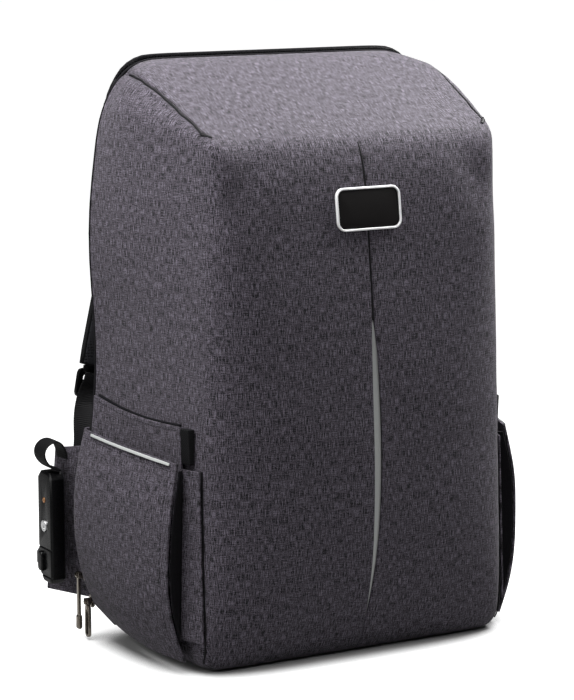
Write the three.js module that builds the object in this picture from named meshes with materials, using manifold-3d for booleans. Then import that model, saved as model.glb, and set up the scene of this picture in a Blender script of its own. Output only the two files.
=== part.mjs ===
// Laptop backpack with a sloped top and a slit pocket, standing upright on its base.
// Millimetres, +Z up, front towards -Y, +X to the right of the front view.
// Origin at the middle of the base, on the floor.

import * as THREE from "three";
import { mergeVertices } from "three/addons/utils/BufferGeometryUtils.js";
import Module from "manifold-3d";

const wasm = await Module();
wasm.setup();

const v3 = (x, y, z) => new THREE.Vector3(x, y, z);
const lerp = THREE.MathUtils.lerp;
const rad = THREE.MathUtils.degToRad;

// General sizes
const WALL = 3; // padded cloth of the body
const CLOTH = 2; // unpadded cloth of the pockets
const GAP = 0.4; // air between neighbouring pieces
const BACK_EDGE = 76; // depth where the body meets the zip gusset
const GUSSET_END = 81.4; // depth where the gusset meets the back panel
const PANEL_BACK = 90; // rearmost depth of the back pad
const MIDDLE_HEIGHT = 200; // height that the middle of the body is taken at
const LIFT = 5; // height of the gusset over the floor
const DART_DEPTH = 2.4; // depth of the sewn dart along each top corner
const DART_END = -60; // depth where the dart runs out, and how slowly it does
const DART_FADE = 14;
const DART_STEP = 4; // place of the dart among the corner angles
const CORNER_ANGLES = [0, 20, 40, 54, 60, 66, 78, 90]; // degrees up a top corner
const BASE_STEPS = 3; // steps along half the base, round the foot, up the side, along half the top
const FOOT_STEPS = 3;
const SIDE_STEPS = 8;
const TOP_STEPS = 3;

// Body sections from the back edge to the front.
// depth: y. half, shoulder: half width over the foot and under the top corner.
// belly, wave: single and threefold bulge of the side between them (hollow where negative).
// top, base: heights. across, down: radii of the top corner. foot: radius of the bottom corner.
const COLUMNS = ["depth", "half", "shoulder", "belly", "wave", "top", "base", "across", "down", "foot"];
const BODY_SECTIONS = [
  [76, 165.8, 157.8, 1.5, 4.5, 464.8, 0, 52, 72, 52],
  [62, 162.4, 155.6, 1.4, 4, 463.2, 0, 46, 57, 46],
  [50, 159.5, 154.5, 1, 3, 459, 0, 34, 40, 40],
  [34, 156.5, 153.5, 0, 2, 452.5, 0, 27, 31, 34],
  [4, 151, 147, -1, 1, 439.5, 0, 21, 22, 26],
  [-44, 142, 132.5, 0, 0, 417.5, 0, 8, 8, 17],
  [-57, 139.5, 128.5, 0, 0, 410.5, 0, 7, 7, 16],
  [-66, 135, 122, 0.5, 0, 397.5, 8, 14, 14, 22],
  [-73, 127, 114, 0.5, 0, 372, 23, 32, 38, 34],
  [-80, 111, 100, 0, 0, 317, 43, 48, 58, 46],
  [-85.5, 88, 82, 0, 0, 268, 68, 50, 54, 48],
  [-89, 63, 60, 0, 0, 220, 93, 40, 40, 40],
  [-91, 32, 31, 0, 0, 180, 128, 20, 20, 20],
].map((row) => Object.fromEntries(COLUMNS.map((column, i) => [column, row[i]])));
const BROW = 6; // row of the front edge of the top
const FRONT_POLE = v3(0, -91.6, 155);
const GUSSET_FRONT = { ...BODY_SECTIONS[0], depth: BACK_EDGE + GAP, base: LIFT };
const GUSSET_BACK = {
  ...GUSSET_FRONT,
  depth: GUSSET_END,
  half: 157,
  shoulder: 150,
  top: 467.2,
  base: LIFT + 3,
  across: 42,
  down: 64,
  foot: 46,
};

// Slit in the front: heights, widest opening, and how far the wide part sits towards the top
const SLIT_TOP = 272;
const SLIT_FOOT = 36;
const SLIT_WIDTH = 7;
const SLIT_SKEW = 0.7;

const STRIP_LEFT = -8; // light strip behind the slit
const STRIP_RIGHT = 2.6;
const STRIP_THICK = 0.8;

// Badge on the front
const BADGE_HEIGHT = 356;
const BADGE_WIDTH = 57.6;
const BADGE_TALL = 33;
const BADGE_RADIUS = 7;
const BADGE_RIM = 1.6;
const RIM_PROUD = 3.2; // how far rim and plate stand off the front
const PLATE_PROUD = 2.4;

// Outer side pocket, from its foot to its hem.
// height: z. front: y of the free front edge. The other columns are how far the pocket stands
// off the body at its front edge, in its middle and at its back edge.
const POCKET_ROWS = [
  { height: 9, front: -48, frontOff: 8, middleOff: 9.5, backOff: 3 },
  { height: 40, front: -48, frontOff: 18, middleOff: 19.5, backOff: 8 },
  { height: 80, front: -47.5, frontOff: 22.5, middleOff: 24, backOff: 14 },
  { height: 120, front: -49, frontOff: 22, middleOff: 24, backOff: 15.5 },
  { height: 150, front: -47.5, frontOff: 17, middleOff: 20, backOff: 13.5 },
  { height: 175, front: -45.5, frontOff: 12.5, middleOff: 15, backOff: 10.5 },
];
const HEM_DROP = 9.5; // how much lower the hem is at the front
const POCKET_BACK = 75; // y of the sewn back edge of both pockets
const SEWN_OFF = 2.2; // distance of its inner face from the body there
const POCKET_ROLL = 6; // depth over which the outer pocket turns in to its back edge
const PIPING_TALL = 2.1; // light piping under the hem of the outer pocket
const PIPING_DOWN = 0.2;
const PIPING_OFF = 0.7;
const PIPING_THICK = 1.2;
const INNER_FRONT = -39; // y of the front and back edges of the inner pocket
const INNER_BACK = 71.5;
const INNER_FOOT = 50;
const INNER_MOUTH = 201; // at the back; the mouth drops towards the front and sags between
const INNER_DROP = 8.5;
const INNER_SAG = 4;
const INNER_OFF = 3.6; // how far it stands off the body, and how much more at its front top corner
const INNER_FLARE = 3.4;
// Bellows of the outer pocket: its seam on the body leans forward towards the foot
const BELLOWS = { foot: 26, head: 160, half: 0.8, rootOff: 2.6, tipOff: 3.6 };
const BELLOWS_SEAM = { head: -57.5, foot: -64 };
const BELLOWS_FOLD = { depth: -40.6, off: 4.6, from: 6, over: 4 }; // full where the pocket stands out
const BINDING_FOOT = 164;
const BINDING_FRONT = -49;

// Side wing that anchors the shoulder strap; its outer edge leans out towards the foot
const WING_START = 82.6;
const WING_FOOT = { end: 132, out: 178, root: 30, tip: 31 };
const WING_HEAD = { end: 121, out: 174, root: 158, tip: 151 };
const WING_THICK = 6;

// Shoulder strap, left one: middle line from the yoke to the ladder lock, then the webbing
const STRAP_PATH = [
  { x: -60, y: 99, z: 424 },
  { x: -70, y: 109, z: 402 },
  { x: -84, y: 118, z: 367 },
  { x: -99, y: 123, z: 322 },
  { x: -112, y: 122, z: 272 },
  { x: -129.3, y: 117.5, z: 212.6 },
];
const STRAP_WIDE = 62;
const STRAP_NARROW = 46;
const STRAP_THICK = 10;
const WEBBING_PATH = [
  { x: -138.6, y: 112.8, z: 208 },
  { x: -141, y: 112, z: 201 },
  { x: -145, y: 111.5, z: 192 },
  { x: -151, y: 109.5, z: 177 },
  { x: -156, y: 104.5, z: 160 },
  { x: -160, y: 101.5, z: 143 },
  { x: -161.5, y: 100, z: 112 },
];
const WEBBING_WIDE = 25;
const WEBBING_THICK = 1.6;
const LADDER_WIDE = 36;
const LADDER_TALL = 24;
const LADDER_THICK = 4;
const LADDER_START = { x: -135, y: 117.5, z: 211 };
const LADDER_LEAN = -0.18; // sideways step for each step down

// Grab loop at the top of the back
const HAUL_HALF = 46;
const HAUL_HEIGHT = 450;
const HAUL_BOW = 24;
const HAUL_WIDE = 22;
const HAUL_THICK = 3;

// Zip: chain on the gusset, two sliders low on the left side, a pull on each
const CHAIN_FROM = 78.4;
const CHAIN_TO = 80.9;
const CHAIN_MIDDLE = (CHAIN_FROM + CHAIN_TO) / 2;
const CHAIN_OFF = 0.8; // measured straight out from the bag; the gusset slants inwards
const CHAIN_THICK = 2.4;
const SLIDER_THICK = 3.2;
const SLIDER_HALF = { y: 2.9, z: 6, corner: 2.6 };
const FIN = { proud: 2, thick: 1.2, tall: 5 }; // fin that carries the pin
const PIN_OUT = 7; // distance of the pin from the slider's inner face
const PIN_LENGTH = 5;
const PIN_HEAD = { radius: 2, thick: 1, at: 5.2 };
const PIN_RADIUS = 1.1;
const EYE_HOLE = 1.6;
const EYE_RADIUS = 3;
// Sliders: height of the pin, x of the inner face, and whether the pin points back or forwards
const UPPER_SLIDER = { pin: 53, face: -166.9, ahead: 1 };
const LOWER_SLIDER = { pin: 31, face: -161.8, ahead: -1 };
// Pulls: from, to and middle are depths beside the middle of the chain
const UPPER_PULL = { from: 1.1, to: 4.2, foot: 8, pad: 20, barHalf: 1.1, padHalf: 2 };
const LOWER_PULL = { from: -4.2, to: -1.1, middle: -3.2, foot: 2, half: 3.8, inner: 2, thick: 2 };

// Zip lock that hangs beside the left wing
const LOCK_INNER = -181;
const LOCK_THICK = 13;
const LOCK_FRONT = 90;
const LOCK_BACK = 115;
const LOCK_FOOT = 45;
const LOCK_TOP = 136;
const LOCK_FACE = LOCK_INNER - LOCK_THICK;
const CYLINDER = { y: 103, z: 91.5, radius: 4.8, bore: 5.3, deep: 5, proud: 0.8 };
const WINDOW = { y: 103, z: 112.5, radius: 2.2, bore: 2.6, deep: 2, proud: 0.3 };
const LOCK_BEVEL = 1.5;
const LOCK_GROOVES = { heights: [50, 73], deep: 1, tall: 1.2 };
const KEY_SLOT = { wide: 1.2, tall: 5.2, deep: 0.8 };
const LOOP_WIDE = 20; // webbing loop between the lock and the wing
const LOOP_THICK = 1.8;
const THUMB = { from: 54, to: 72, slope: 4, proud: 4.6 }; // thumb pad on the lock's back edge
const BUTTON = { y: 108, z: 61.5, wide: 8, tall: 16, clear: 0.4, deep: 9, long: 9, proud: 2.4 };

// Closed geometry from points and triangles, faces turned outwards.
function closedGeometry(points, triangles) {
  let volume = 0;
  for (const [a, b, c] of triangles) {
    volume += points[a].dot(points[b].clone().cross(points[c]));
  }
  const index = triangles.flatMap(([a, b, c]) => (volume < 0 ? [a, c, b] : [a, b, c]));
  const geometry = new THREE.BufferGeometry().setFromPoints(points);
  geometry.setIndex(index);
  return geometry;
}

// Skin through rings of equal count, closed at both ends, or round to the first ring.
function loft(rings, { wrap = false, startPole, endPole } = {}) {
  const count = rings[0].length;
  const points = rings.flat();
  const triangles = [];
  const spans = wrap ? rings.length : rings.length - 1;
  for (let r = 0; r < spans; r++) {
    const next = (r + 1) % rings.length;
    for (let k = 0; k < count; k++) {
      const l = (k + 1) % count;
      triangles.push([r * count + k, r * count + l, next * count + l]);
      triangles.push([r * count + k, next * count + l, next * count + k]);
    }
  }
  if (!wrap) {
    const middle = (ring) => ring.reduce((sum, p) => sum.add(p), v3(0, 0, 0)).divideScalar(count);
    const start = points.push(startPole ?? middle(rings[0])) - 1;
    const end = points.push(endPole ?? middle(rings.at(-1))) - 1;
    const last = (rings.length - 1) * count;
    for (let k = 0; k < count; k++) {
      const l = (k + 1) % count;
      triangles.push([start, l, k]);
      triangles.push([end, last + k, last + l]);
    }
  }
  return closedGeometry(points, triangles);
}

// Cloth wall between two faces, each a function of the place across and up.
function clothWall(across, up, face, back) {
  const points = [];
  for (const side of [face, back]) {
    for (let j = 0; j <= up; j++) {
      for (let i = 0; i <= across; i++) {
        points.push(side(i / across, j / up));
      }
    }
  }
  const at = (i, j, s) => s * (across + 1) * (up + 1) + j * (across + 1) + i;
  const triangles = [];
  const quad = (a, b, c, d) => triangles.push([a, b, c], [a, c, d]);
  for (let i = 0; i < across; i++) {
    for (let j = 0; j < up; j++) {
      quad(at(i, j, 0), at(i + 1, j, 0), at(i + 1, j + 1, 0), at(i, j + 1, 0));
      quad(at(i, j, 1), at(i, j + 1, 1), at(i + 1, j + 1, 1), at(i + 1, j, 1));
    }
    quad(at(i + 1, 0, 0), at(i, 0, 0), at(i, 0, 1), at(i + 1, 0, 1));
    quad(at(i, up, 0), at(i + 1, up, 0), at(i + 1, up, 1), at(i, up, 1));
  }
  for (let j = 0; j < up; j++) {
    quad(at(0, j, 0), at(0, j + 1, 0), at(0, j + 1, 1), at(0, j, 1));
    quad(at(across, j + 1, 0), at(across, j, 0), at(across, j, 1), at(across, j + 1, 1));
  }
  return closedGeometry(points, triangles);
}

// Flat band along a path, with rounded long edges; flat(t) is the direction across it.
const BAND_SECTION = [
  [-1, -0.5],
  [-0.92, -1],
  [0.92, -1],
  [1, -0.5],
  [1, 0.5],
  [0.92, 1],
  [-0.92, 1],
  [-1, 0.5],
];
function band(path, steps, width, thickness, flat) {
  const rings = [];
  for (let i = 0; i <= steps; i++) {
    const t = i / steps;
    const spot = path.getPoint(t);
    const run = path.getTangent(t);
    const across = flat(t);
    across.addScaledVector(run, -across.dot(run)).normalize();
    const out = run.clone().cross(across);
    rings.push(
      BAND_SECTION.map(([a, b]) =>
        spot
          .clone()
          .addScaledVector(across, (a * width(t)) / 2)
          .addScaledVector(out, (b * thickness(t)) / 2)
      )
    );
  }
  return loft(rings);
}
const pathOf = (rows) => new THREE.CatmullRomCurve3(rows.map((row) => v3(row.x, row.y, row.z)));

// Solids that are joined to or cut from each other.
function solid(geometry) {
  const plain = geometry.clone();
  plain.deleteAttribute("normal");
  plain.deleteAttribute("uv");
  const merged = mergeVertices(plain, 1e-4);
  const vertProperties = new Float32Array(merged.attributes.position.array);
  const triVerts = new Uint32Array(merged.index.array);
  return new wasm.Manifold(new wasm.Mesh({ numProp: 3, vertProperties, triVerts }));
}
function geometryOf(body) {
  const mesh = body.getMesh();
  const geometry = new THREE.BufferGeometry();
  geometry.setAttribute("position", new THREE.BufferAttribute(new Float32Array(mesh.vertProperties), 3));
  geometry.setIndex(new THREE.BufferAttribute(new Uint32Array(mesh.triVerts), 1));
  return geometry;
}

// Shapes drawn in the side view (y, z) and pushed along x from x0 to x1.
function sidePlate(shape, x0, x1, bevel = 0, curveSegments = 2) {
  const geometry = new THREE.ExtrudeGeometry(shape, {
    depth: x1 - x0 - 2 * bevel,
    curveSegments,
    bevelEnabled: bevel > 0,
    bevelThickness: bevel,
    bevelSize: bevel,
    bevelOffset: -bevel,
    bevelSegments: 1,
  });
  geometry.applyMatrix4(new THREE.Matrix4().makeBasis(v3(0, 1, 0), v3(0, 0, 1), v3(1, 0, 0)));
  return geometry.translate(x0 + bevel, 0, 0);
}
// Shapes drawn in the front view (x, z) and pushed along y from y0 to y1.
function frontPlate(shape, y0, y1, curveSegments = 2) {
  const geometry = new THREE.ExtrudeGeometry(shape, {
    depth: y1 - y0,
    curveSegments,
    bevelEnabled: false,
  });
  geometry.applyMatrix4(new THREE.Matrix4().makeBasis(v3(1, 0, 0), v3(0, 0, 1), v3(0, -1, 0)));
  return geometry.translate(0, y1, 0);
}
function roundedShape(x0, y0, x1, y1, radius, kind = THREE.Shape) {
  const shape = new kind();
  shape.absarc(x1 - radius, y0 + radius, radius, -Math.PI / 2, 0);
  shape.absarc(x1 - radius, y1 - radius, radius, 0, Math.PI / 2);
  shape.absarc(x0 + radius, y1 - radius, radius, Math.PI / 2, Math.PI);
  shape.absarc(x0 + radius, y0 + radius, radius, Math.PI, 1.5 * Math.PI);
  shape.closePath();
  return shape;
}
function disc(x, y, radius, kind = THREE.Shape) {
  return new kind().absarc(x, y, radius, 0, 2 * Math.PI);
}

// Half width of a section, a share t of the way up its side.
function sideHalf(s, t) {
  const bulge = s.belly * Math.sin(Math.PI * t) + s.wave * Math.sin(3 * Math.PI * t);
  return lerp(s.half, s.shoulder, t) + bulge;
}
// Right half of a section outline from the bottom middle to the top middle.
function halfOutline(s) {
  const points = [];
  const low = s.base + s.foot;
  const high = s.top - s.down;
  for (let i = 0; i < BASE_STEPS; i++) {
    points.push([((s.half - s.foot) * i) / BASE_STEPS, s.base]);
  }
  for (let i = 0; i < FOOT_STEPS; i++) {
    const turn = rad((90 * i) / FOOT_STEPS);
    points.push([s.half - s.foot + s.foot * Math.sin(turn), low - s.foot * Math.cos(turn)]);
  }
  for (let i = 0; i < SIDE_STEPS; i++) {
    const t = i / SIDE_STEPS;
    points.push([sideHalf(s, t), lerp(low, high, t)]);
  }
  for (const angle of CORNER_ANGLES) {
    const turn = rad(angle);
    points.push([s.shoulder - s.across + s.across * Math.cos(turn), high + s.down * Math.sin(turn)]);
  }
  for (let i = 1; i <= TOP_STEPS; i++) {
    points.push([(s.shoulder - s.across) * (1 - i / TOP_STEPS), s.top]);
  }
  return points;
}
function sectionRing(s) {
  const half = halfOutline(s);
  const mirrored = half.slice(1, -1).reverse();
  const right = half.map(([x, z]) => v3(x, s.depth, z));
  const left = mirrored.map(([x, z]) => v3(-x, s.depth, z));
  return [...right, ...left];
}
const DART_INDEX = BASE_STEPS + FOOT_STEPS + SIDE_STEPS + DART_STEP;

// The same section drawn further in (or out, where the inset is negative).
function insetSection(s, inset, depth) {
  return {
    ...s,
    depth,
    half: s.half - inset,
    shoulder: s.shoulder - inset,
    top: s.top - inset,
    base: s.base + inset,
    across: s.across - inset,
    down: s.down - inset,
    foot: s.foot - inset,
  };
}
function mixSections(a, b, t) {
  return Object.fromEntries(Object.keys(a).map((column) => [column, lerp(a[column], b[column], t)]));
}
function gussetSection(depth, inset) {
  const t = (depth - GUSSET_FRONT.depth) / (GUSSET_BACK.depth - GUSSET_FRONT.depth);
  return insetSection(mixSections(GUSSET_FRONT, GUSSET_BACK, t), inset, depth);
}
// Half width of a section at one height, up to the top corner.
function halfWidthAt(s, height) {
  const low = s.base + s.foot;
  if (height < low) {
    return s.half - s.foot + Math.sqrt(Math.max(0, s.foot ** 2 - (low - height) ** 2));
  }
  return sideHalf(s, (height - low) / (s.top - s.down - low));
}

// Sections between the listed ones, smooth and without overshoot.
function smoothColumn(a, b, c, d, t) {
  const slope = (p, q, r) => ((q - p) * (r - q) <= 0 ? 0 : (2 * (q - p) * (r - q)) / (r - p));
  const start = slope(a, b, c);
  const end = slope(b, c, d);
  const t2 = t * t;
  const t3 = t2 * t;
  const ends = (2 * t3 - 3 * t2 + 1) * b + (3 * t2 - 2 * t3) * c;
  return ends + (t3 - 2 * t2 + t) * start + (t3 - t2) * end;
}
function smoothSections(rows, steps) {
  const out = [];
  for (let i = 0; i < rows.length - 1; i++) {
    for (let k = 0; k < steps; k++) {
      const row = {};
      for (const column of Object.keys(rows[0])) {
        const b = rows[i][column];
        const c = rows[i + 1][column];
        const a = i > 0 ? rows[i - 1][column] : 2 * b - c;
        const d = i < rows.length - 2 ? rows[i + 2][column] : 2 * c - b;
        row[column] = smoothColumn(a, b, c, d, k / steps);
      }
      out.push(row);
    }
  }
  return [...out, rows.at(-1)];
}

// Body: outer skin with a dart along each top corner
const topSections = BODY_SECTIONS.slice(0, BROW);
const bodySections = [...topSections, ...smoothSections(BODY_SECTIONS.slice(BROW), 2)];
const outerRings = bodySections.map((section) => {
  const ring = sectionRing(section);
  const fade = THREE.MathUtils.clamp((section.depth - DART_END) / DART_FADE, 0, 1);
  for (const index of [DART_INDEX, ring.length - DART_INDEX]) {
    const inward = v3(-ring[index].x, 0, MIDDLE_HEIGHT - ring[index].z).normalize();
    ring[index].addScaledVector(inward, DART_DEPTH * fade);
  }
  return ring;
});
const outerSkin = loft(outerRings, { startPole: v3(0, BACK_EDGE, MIDDLE_HEIGHT), endPole: FRONT_POLE });
outerSkin.computeVertexNormals();

// Places on the outer skin: y of the front at (x, z), |x| of the side at (y, z)
const bodyProbe = new THREE.Mesh(outerSkin, new THREE.MeshStandardMaterial());
const sight = new THREE.Raycaster();
function frontOf(x, z) {
  sight.set(v3(x, -300, z), v3(0, 1, 0));
  return sight.intersectObject(bodyProbe)[0].point.y;
}
function sideOf(y, z) {
  sight.set(v3(300, Math.min(y, BACK_EDGE - 0.5), z), v3(-1, 0, 0));
  return sight.intersectObject(bodyProbe)[0].point.x;
}

// Body: inner skin one wall further in, and the slit through the front
function bodyShell() {
  const count = outerRings[0].length;
  const normals = outerSkin.attributes.normal;
  const innerRings = outerRings.map((ring, r) =>
    ring.map((spot, k) => {
      const normal = v3(0, 0, 0).fromBufferAttribute(normals, Math.max(r, 1) * count + k);
      if (r === 0) {
        normal.setY(0).normalize();
      }
      return spot.clone().addScaledVector(normal, -WALL);
    })
  );
  const innerPole = FRONT_POLE.clone().add(v3(0, WALL, 0));
  const rings = [...innerRings.reverse(), ...outerRings];
  const tub = loft(rings, { startPole: innerPole, endPole: FRONT_POLE });
  const slit = new THREE.Shape();
  const steps = 14;
  const edge = (t) => (SLIT_WIDTH / 2) * Math.sin(Math.PI * t ** SLIT_SKEW);
  slit.moveTo(0, SLIT_TOP);
  for (let i = 1; i < steps; i++) {
    slit.lineTo(-edge(i / steps), lerp(SLIT_TOP, SLIT_FOOT, i / steps));
  }
  slit.lineTo(0, SLIT_FOOT);
  for (let i = steps - 1; i > 0; i--) {
    slit.lineTo(edge(i / steps), lerp(SLIT_TOP, SLIT_FOOT, i / steps));
  }
  slit.closePath();
  return geometryOf(solid(tub).subtract(solid(frontPlate(slit, -110, -60))));
}

// Zip gusset round the back edge, and the zip chain that lies on it
function zipGusset() {
  const ringAt = (depth, inset) => sectionRing(gussetSection(depth, inset));
  const front = GUSSET_FRONT.depth;
  const back = GUSSET_BACK.depth;
  const rings = [ringAt(front, 0), ringAt(back, 0), ringAt(back, WALL), ringAt(front, WALL)];
  return loft(rings, { wrap: true });
}
function zipChain() {
  const ringAt = (depth, inset) => sectionRing(gussetSection(depth, inset));
  const low = -CHAIN_OFF;
  const high = -CHAIN_OFF - CHAIN_THICK;
  const face = [ringAt(CHAIN_FROM, high), ringAt(CHAIN_TO, high)];
  const back = [ringAt(CHAIN_TO, low), ringAt(CHAIN_FROM, low)];
  return loft([...face, ...back], { wrap: true });
}

// Back pad: soft rim, slightly crowned back
const PANEL_ROWS = [
  { depth: 81.8, inset: 3 },
  { depth: 82.6, inset: 0.5 },
  { depth: 84, inset: -0.5 },
  { depth: 85.6, inset: 0.5 },
  { depth: 87, inset: 4 },
  { depth: 88.3, inset: 12 },
  { depth: 89.4, inset: 30 },
];
function backPanel() {
  const rings = PANEL_ROWS.map((row) => sectionRing(insetSection(GUSSET_BACK, row.inset, row.depth)));
  const middle = (GUSSET_BACK.base + GUSSET_BACK.top) / 2;
  return loft(rings, { startPole: v3(0, PANEL_ROWS[0].depth, middle), endPole: v3(0, PANEL_BACK, middle) });
}

// Side pockets; side is -1 for the left and 1 for the right
function pocketRow(height) {
  const rows = POCKET_ROWS;
  let i = 0;
  while (i < rows.length - 2 && height > rows[i + 1].height) {
    i++;
  }
  const t = (height - rows[i].height) / (rows[i + 1].height - rows[i].height);
  const row = {};
  for (const column of Object.keys(rows[0])) {
    const before = rows[Math.max(i - 1, 0)][column];
    const after = rows[Math.min(i + 2, rows.length - 1)][column];
    row[column] = smoothColumn(before, rows[i][column], rows[i + 1][column], after, t);
  }
  return row;
}
// Stand-off along the pocket: through the back, middle and front values
function pocketOff(row, u) {
  const back = row.backOff * (1 - u) * (1 - 2 * u);
  const middle = row.middleOff * 4 * u * (1 - u);
  const front = row.frontOff * u * (2 * u - 1);
  return back + middle + front;
}
// Plan of the outer pocket at one height: rolls out from the back edge, then runs to the front
function pocketPlan(z, u) {
  const row = pocketRow(z);
  const y = lerp(POCKET_BACK, row.front, u);
  const turn = THREE.MathUtils.clamp((POCKET_BACK - y) / POCKET_ROLL, 0, 1);
  const roll = Math.sqrt(1 - (1 - turn) ** 2);
  return new THREE.Vector2(sideOf(y, z) + lerp(SEWN_OFF + CLOTH, pocketOff(row, u), roll), y);
}
function pocketSkin(side, height, place, inset) {
  const spot = pocketPlan(height, place);
  const ahead = pocketPlan(height, Math.min(place + 0.004, 1));
  const behind = pocketPlan(height, Math.max(place - 0.004, 0));
  const run = ahead.sub(behind).normalize();
  return v3(side * (spot.x + run.y * inset), spot.y - run.x * inset, height);
}
const hemAt = (place) => POCKET_ROWS.at(-1).height - HEM_DROP * place;
const POCKET_STEPS = [0, 0.004, 0.016, 0.035, 0.06, 0.15, 0.28, 0.43, 0.6, 0.78, 0.95, 1];
function outerPocket(side) {
  const foot = POCKET_ROWS[0].height;
  const last = POCKET_STEPS.length - 1;
  const skin = (inset) => (u, v) => {
    const place = POCKET_STEPS[Math.round(u * last)];
    return pocketSkin(side, lerp(foot, hemAt(place), v), place, inset);
  };
  return clothWall(last, 8, skin(0), skin(CLOTH));
}
function pocketPiping(side) {
  const steps = POCKET_STEPS.slice(5, -1);
  const last = steps.length - 1;
  const skin = (out) => (u, v) => {
    const place = steps[Math.round(u * last)];
    const height = hemAt(place) - PIPING_DOWN - PIPING_TALL * (1 - v);
    return pocketSkin(side, height, place, -out);
  };
  return clothWall(last, 1, skin(PIPING_OFF + PIPING_THICK), skin(PIPING_OFF));
}
// The inner pocket's mouth gapes towards its front
function innerFlare(place, z) {
  const up = THREE.MathUtils.clamp((z - INNER_FOOT) / (INNER_MOUTH - INNER_FOOT), 0, 1);
  return INNER_FLARE * place ** 2 * up ** 5;
}
function innerPocket(side) {
  const skin = (out) => (u, v) => {
    const y = lerp(INNER_BACK, INNER_FRONT, u);
    const mouth = INNER_MOUTH - INNER_DROP * u - INNER_SAG * Math.sin(Math.PI * u);
    const z = lerp(INNER_FOOT, mouth, v);
    return v3(side * (sideOf(y, z) + out + innerFlare(u, z)), y, z);
  };
  return clothWall(7, 5, skin(INNER_OFF), skin(INNER_OFF - CLOTH));
}
// Bellows between its seam on the body and the free front edge of the outer pocket, folded inwards
function pocketGusset(side) {
  const fold = (u, z) => {
    const row = pocketRow(z);
    const up = (z - BELLOWS.foot) / (BELLOWS.head - BELLOWS.foot);
    const seam = lerp(BELLOWS_SEAM.foot, BELLOWS_SEAM.head, up);
    const root = new THREE.Vector2(sideOf(seam, z) + BELLOWS.rootOff, seam);
    const front = row.front + 0.5;
    const tip = new THREE.Vector2(sideOf(row.front, z) + row.frontOff - BELLOWS.tipOff, front);
    const full = THREE.MathUtils.clamp((row.frontOff - BELLOWS_FOLD.from) / BELLOWS_FOLD.over, 0, 1);
    const crease = new THREE.Vector2(sideOf(BELLOWS_FOLD.depth, z) + BELLOWS_FOLD.off, BELLOWS_FOLD.depth);
    const middle = root.clone().lerp(tip, 0.5).lerp(crease, full);
    return u < 0.5 ? root.lerp(middle, 2 * u) : middle.lerp(tip, 2 * u - 1);
  };
  const skin = (offset) => (u, v) => {
    const z = lerp(BELLOWS.foot, BELLOWS.head, v);
    const spot = fold(u, z);
    const run = fold(Math.min(u + 0.01, 1), z).sub(fold(Math.max(u - 0.01, 0), z)).normalize();
    return v3(side * (spot.x + run.y * offset), spot.y - run.x * offset, z);
  };
  return clothWall(6, 7, skin(BELLOWS.half), skin(-BELLOWS.half));
}
// Bound front end of the inner pocket, above the bellows
function pocketBinding(side) {
  const skin = (out) => (u, v) => {
    const y = lerp(INNER_FRONT - GAP, BINDING_FRONT, u);
    const z = lerp(BINDING_FOOT, INNER_MOUTH - INNER_DROP - 1, v);
    return v3(side * (sideOf(y, z) + (out ? INNER_OFF + out + innerFlare(1, z) : GAP + 0.2)), y, z);
  };
  return clothWall(2, 3, skin(0.4), skin(0));
}

// Wing sewn to the side of the back pad
function wing(side) {
  const skin = (face) => (u, v) => {
    const y = lerp(WING_START, lerp(WING_FOOT.end, WING_HEAD.end, v), u);
    const z = lerp(lerp(WING_FOOT.root, WING_FOOT.tip, u), lerp(WING_HEAD.root, WING_HEAD.tip, u), v);
    const puff = (16 * u * (1 - u) * v * (1 - v)) ** 0.35;
    const thick = lerp(0.4, 1, puff) * (WING_THICK / 2);
    const root = halfWidthAt(GUSSET_BACK, z) + 1 + GAP + 2.2;
    const tip = lerp(WING_FOOT.out, WING_HEAD.out, v);
    return v3(side * (lerp(root, tip, u) + face * thick), y, z);
  };
  return clothWall(6, 7, skin(1), skin(-1));
}

// Shoulder strap pad, webbing and ladder lock
const mirrored = (rows, side) => rows.map((row) => ({ ...row, x: -side * row.x }));
function strapPad(side) {
  const path = pathOf(mirrored(STRAP_PATH, side));
  const width = (t) => lerp(STRAP_WIDE, STRAP_NARROW, t);
  const thick = (t) => STRAP_THICK * lerp(0.75, 1, Math.min(1, 6 * t, 5 * (1 - t)));
  return band(path, 16, width, thick, () => v3(1, 0, 0));
}
function strapWebbing(side) {
  const path = pathOf(mirrored(WEBBING_PATH, side));
  const flat = (t) => {
    const turn = rad(-77) * THREE.MathUtils.smoothstep(t, 0.1, 0.75);
    return v3(Math.cos(turn), -side * Math.sin(turn), 0);
  };
  return band(path, 14, () => WEBBING_WIDE, () => WEBBING_THICK, flat);
}
function ladderLock(side) {
  const run = v3(LADDER_LEAN, 0, -1).normalize();
  const across = v3(1, 0, 0);
  across.addScaledVector(run, -across.dot(run)).normalize();
  const out = run.clone().cross(across);
  const shape = roundedShape(-LADDER_WIDE / 2, 0, LADDER_WIDE / 2, LADDER_TALL, 4);
  for (const foot of [5, 14]) {
    shape.holes.push(roundedShape(-13.5, foot, 13.5, foot + 5, 1.5, THREE.Path));
  }
  const plate = new THREE.ExtrudeGeometry(shape, {
    depth: LADDER_THICK,
    curveSegments: 1,
    bevelEnabled: false,
  });
  plate.applyMatrix4(new THREE.Matrix4().makeBasis(across, run, out.clone().negate()));
  plate.translate(LADDER_START.x, LADDER_START.y + LADDER_THICK / 2, LADDER_START.z);
  plate.scale(-side, 1, 1);
  return outwards(plate);
}
// Merged copy with its faces turned outwards
function outwards(geometry) {
  const plain = geometry.clone();
  plain.deleteAttribute("normal");
  plain.deleteAttribute("uv");
  const merged = mergeVertices(plain, 1e-4);
  const place = merged.attributes.position;
  const points = [];
  for (let i = 0; i < place.count; i++) {
    points.push(v3(0, 0, 0).fromBufferAttribute(place, i));
  }
  const triangles = [];
  for (let i = 0; i < merged.index.count; i += 3) {
    triangles.push([merged.index.getX(i), merged.index.getX(i + 1), merged.index.getX(i + 2)]);
  }
  return closedGeometry(points, triangles);
}

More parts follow.
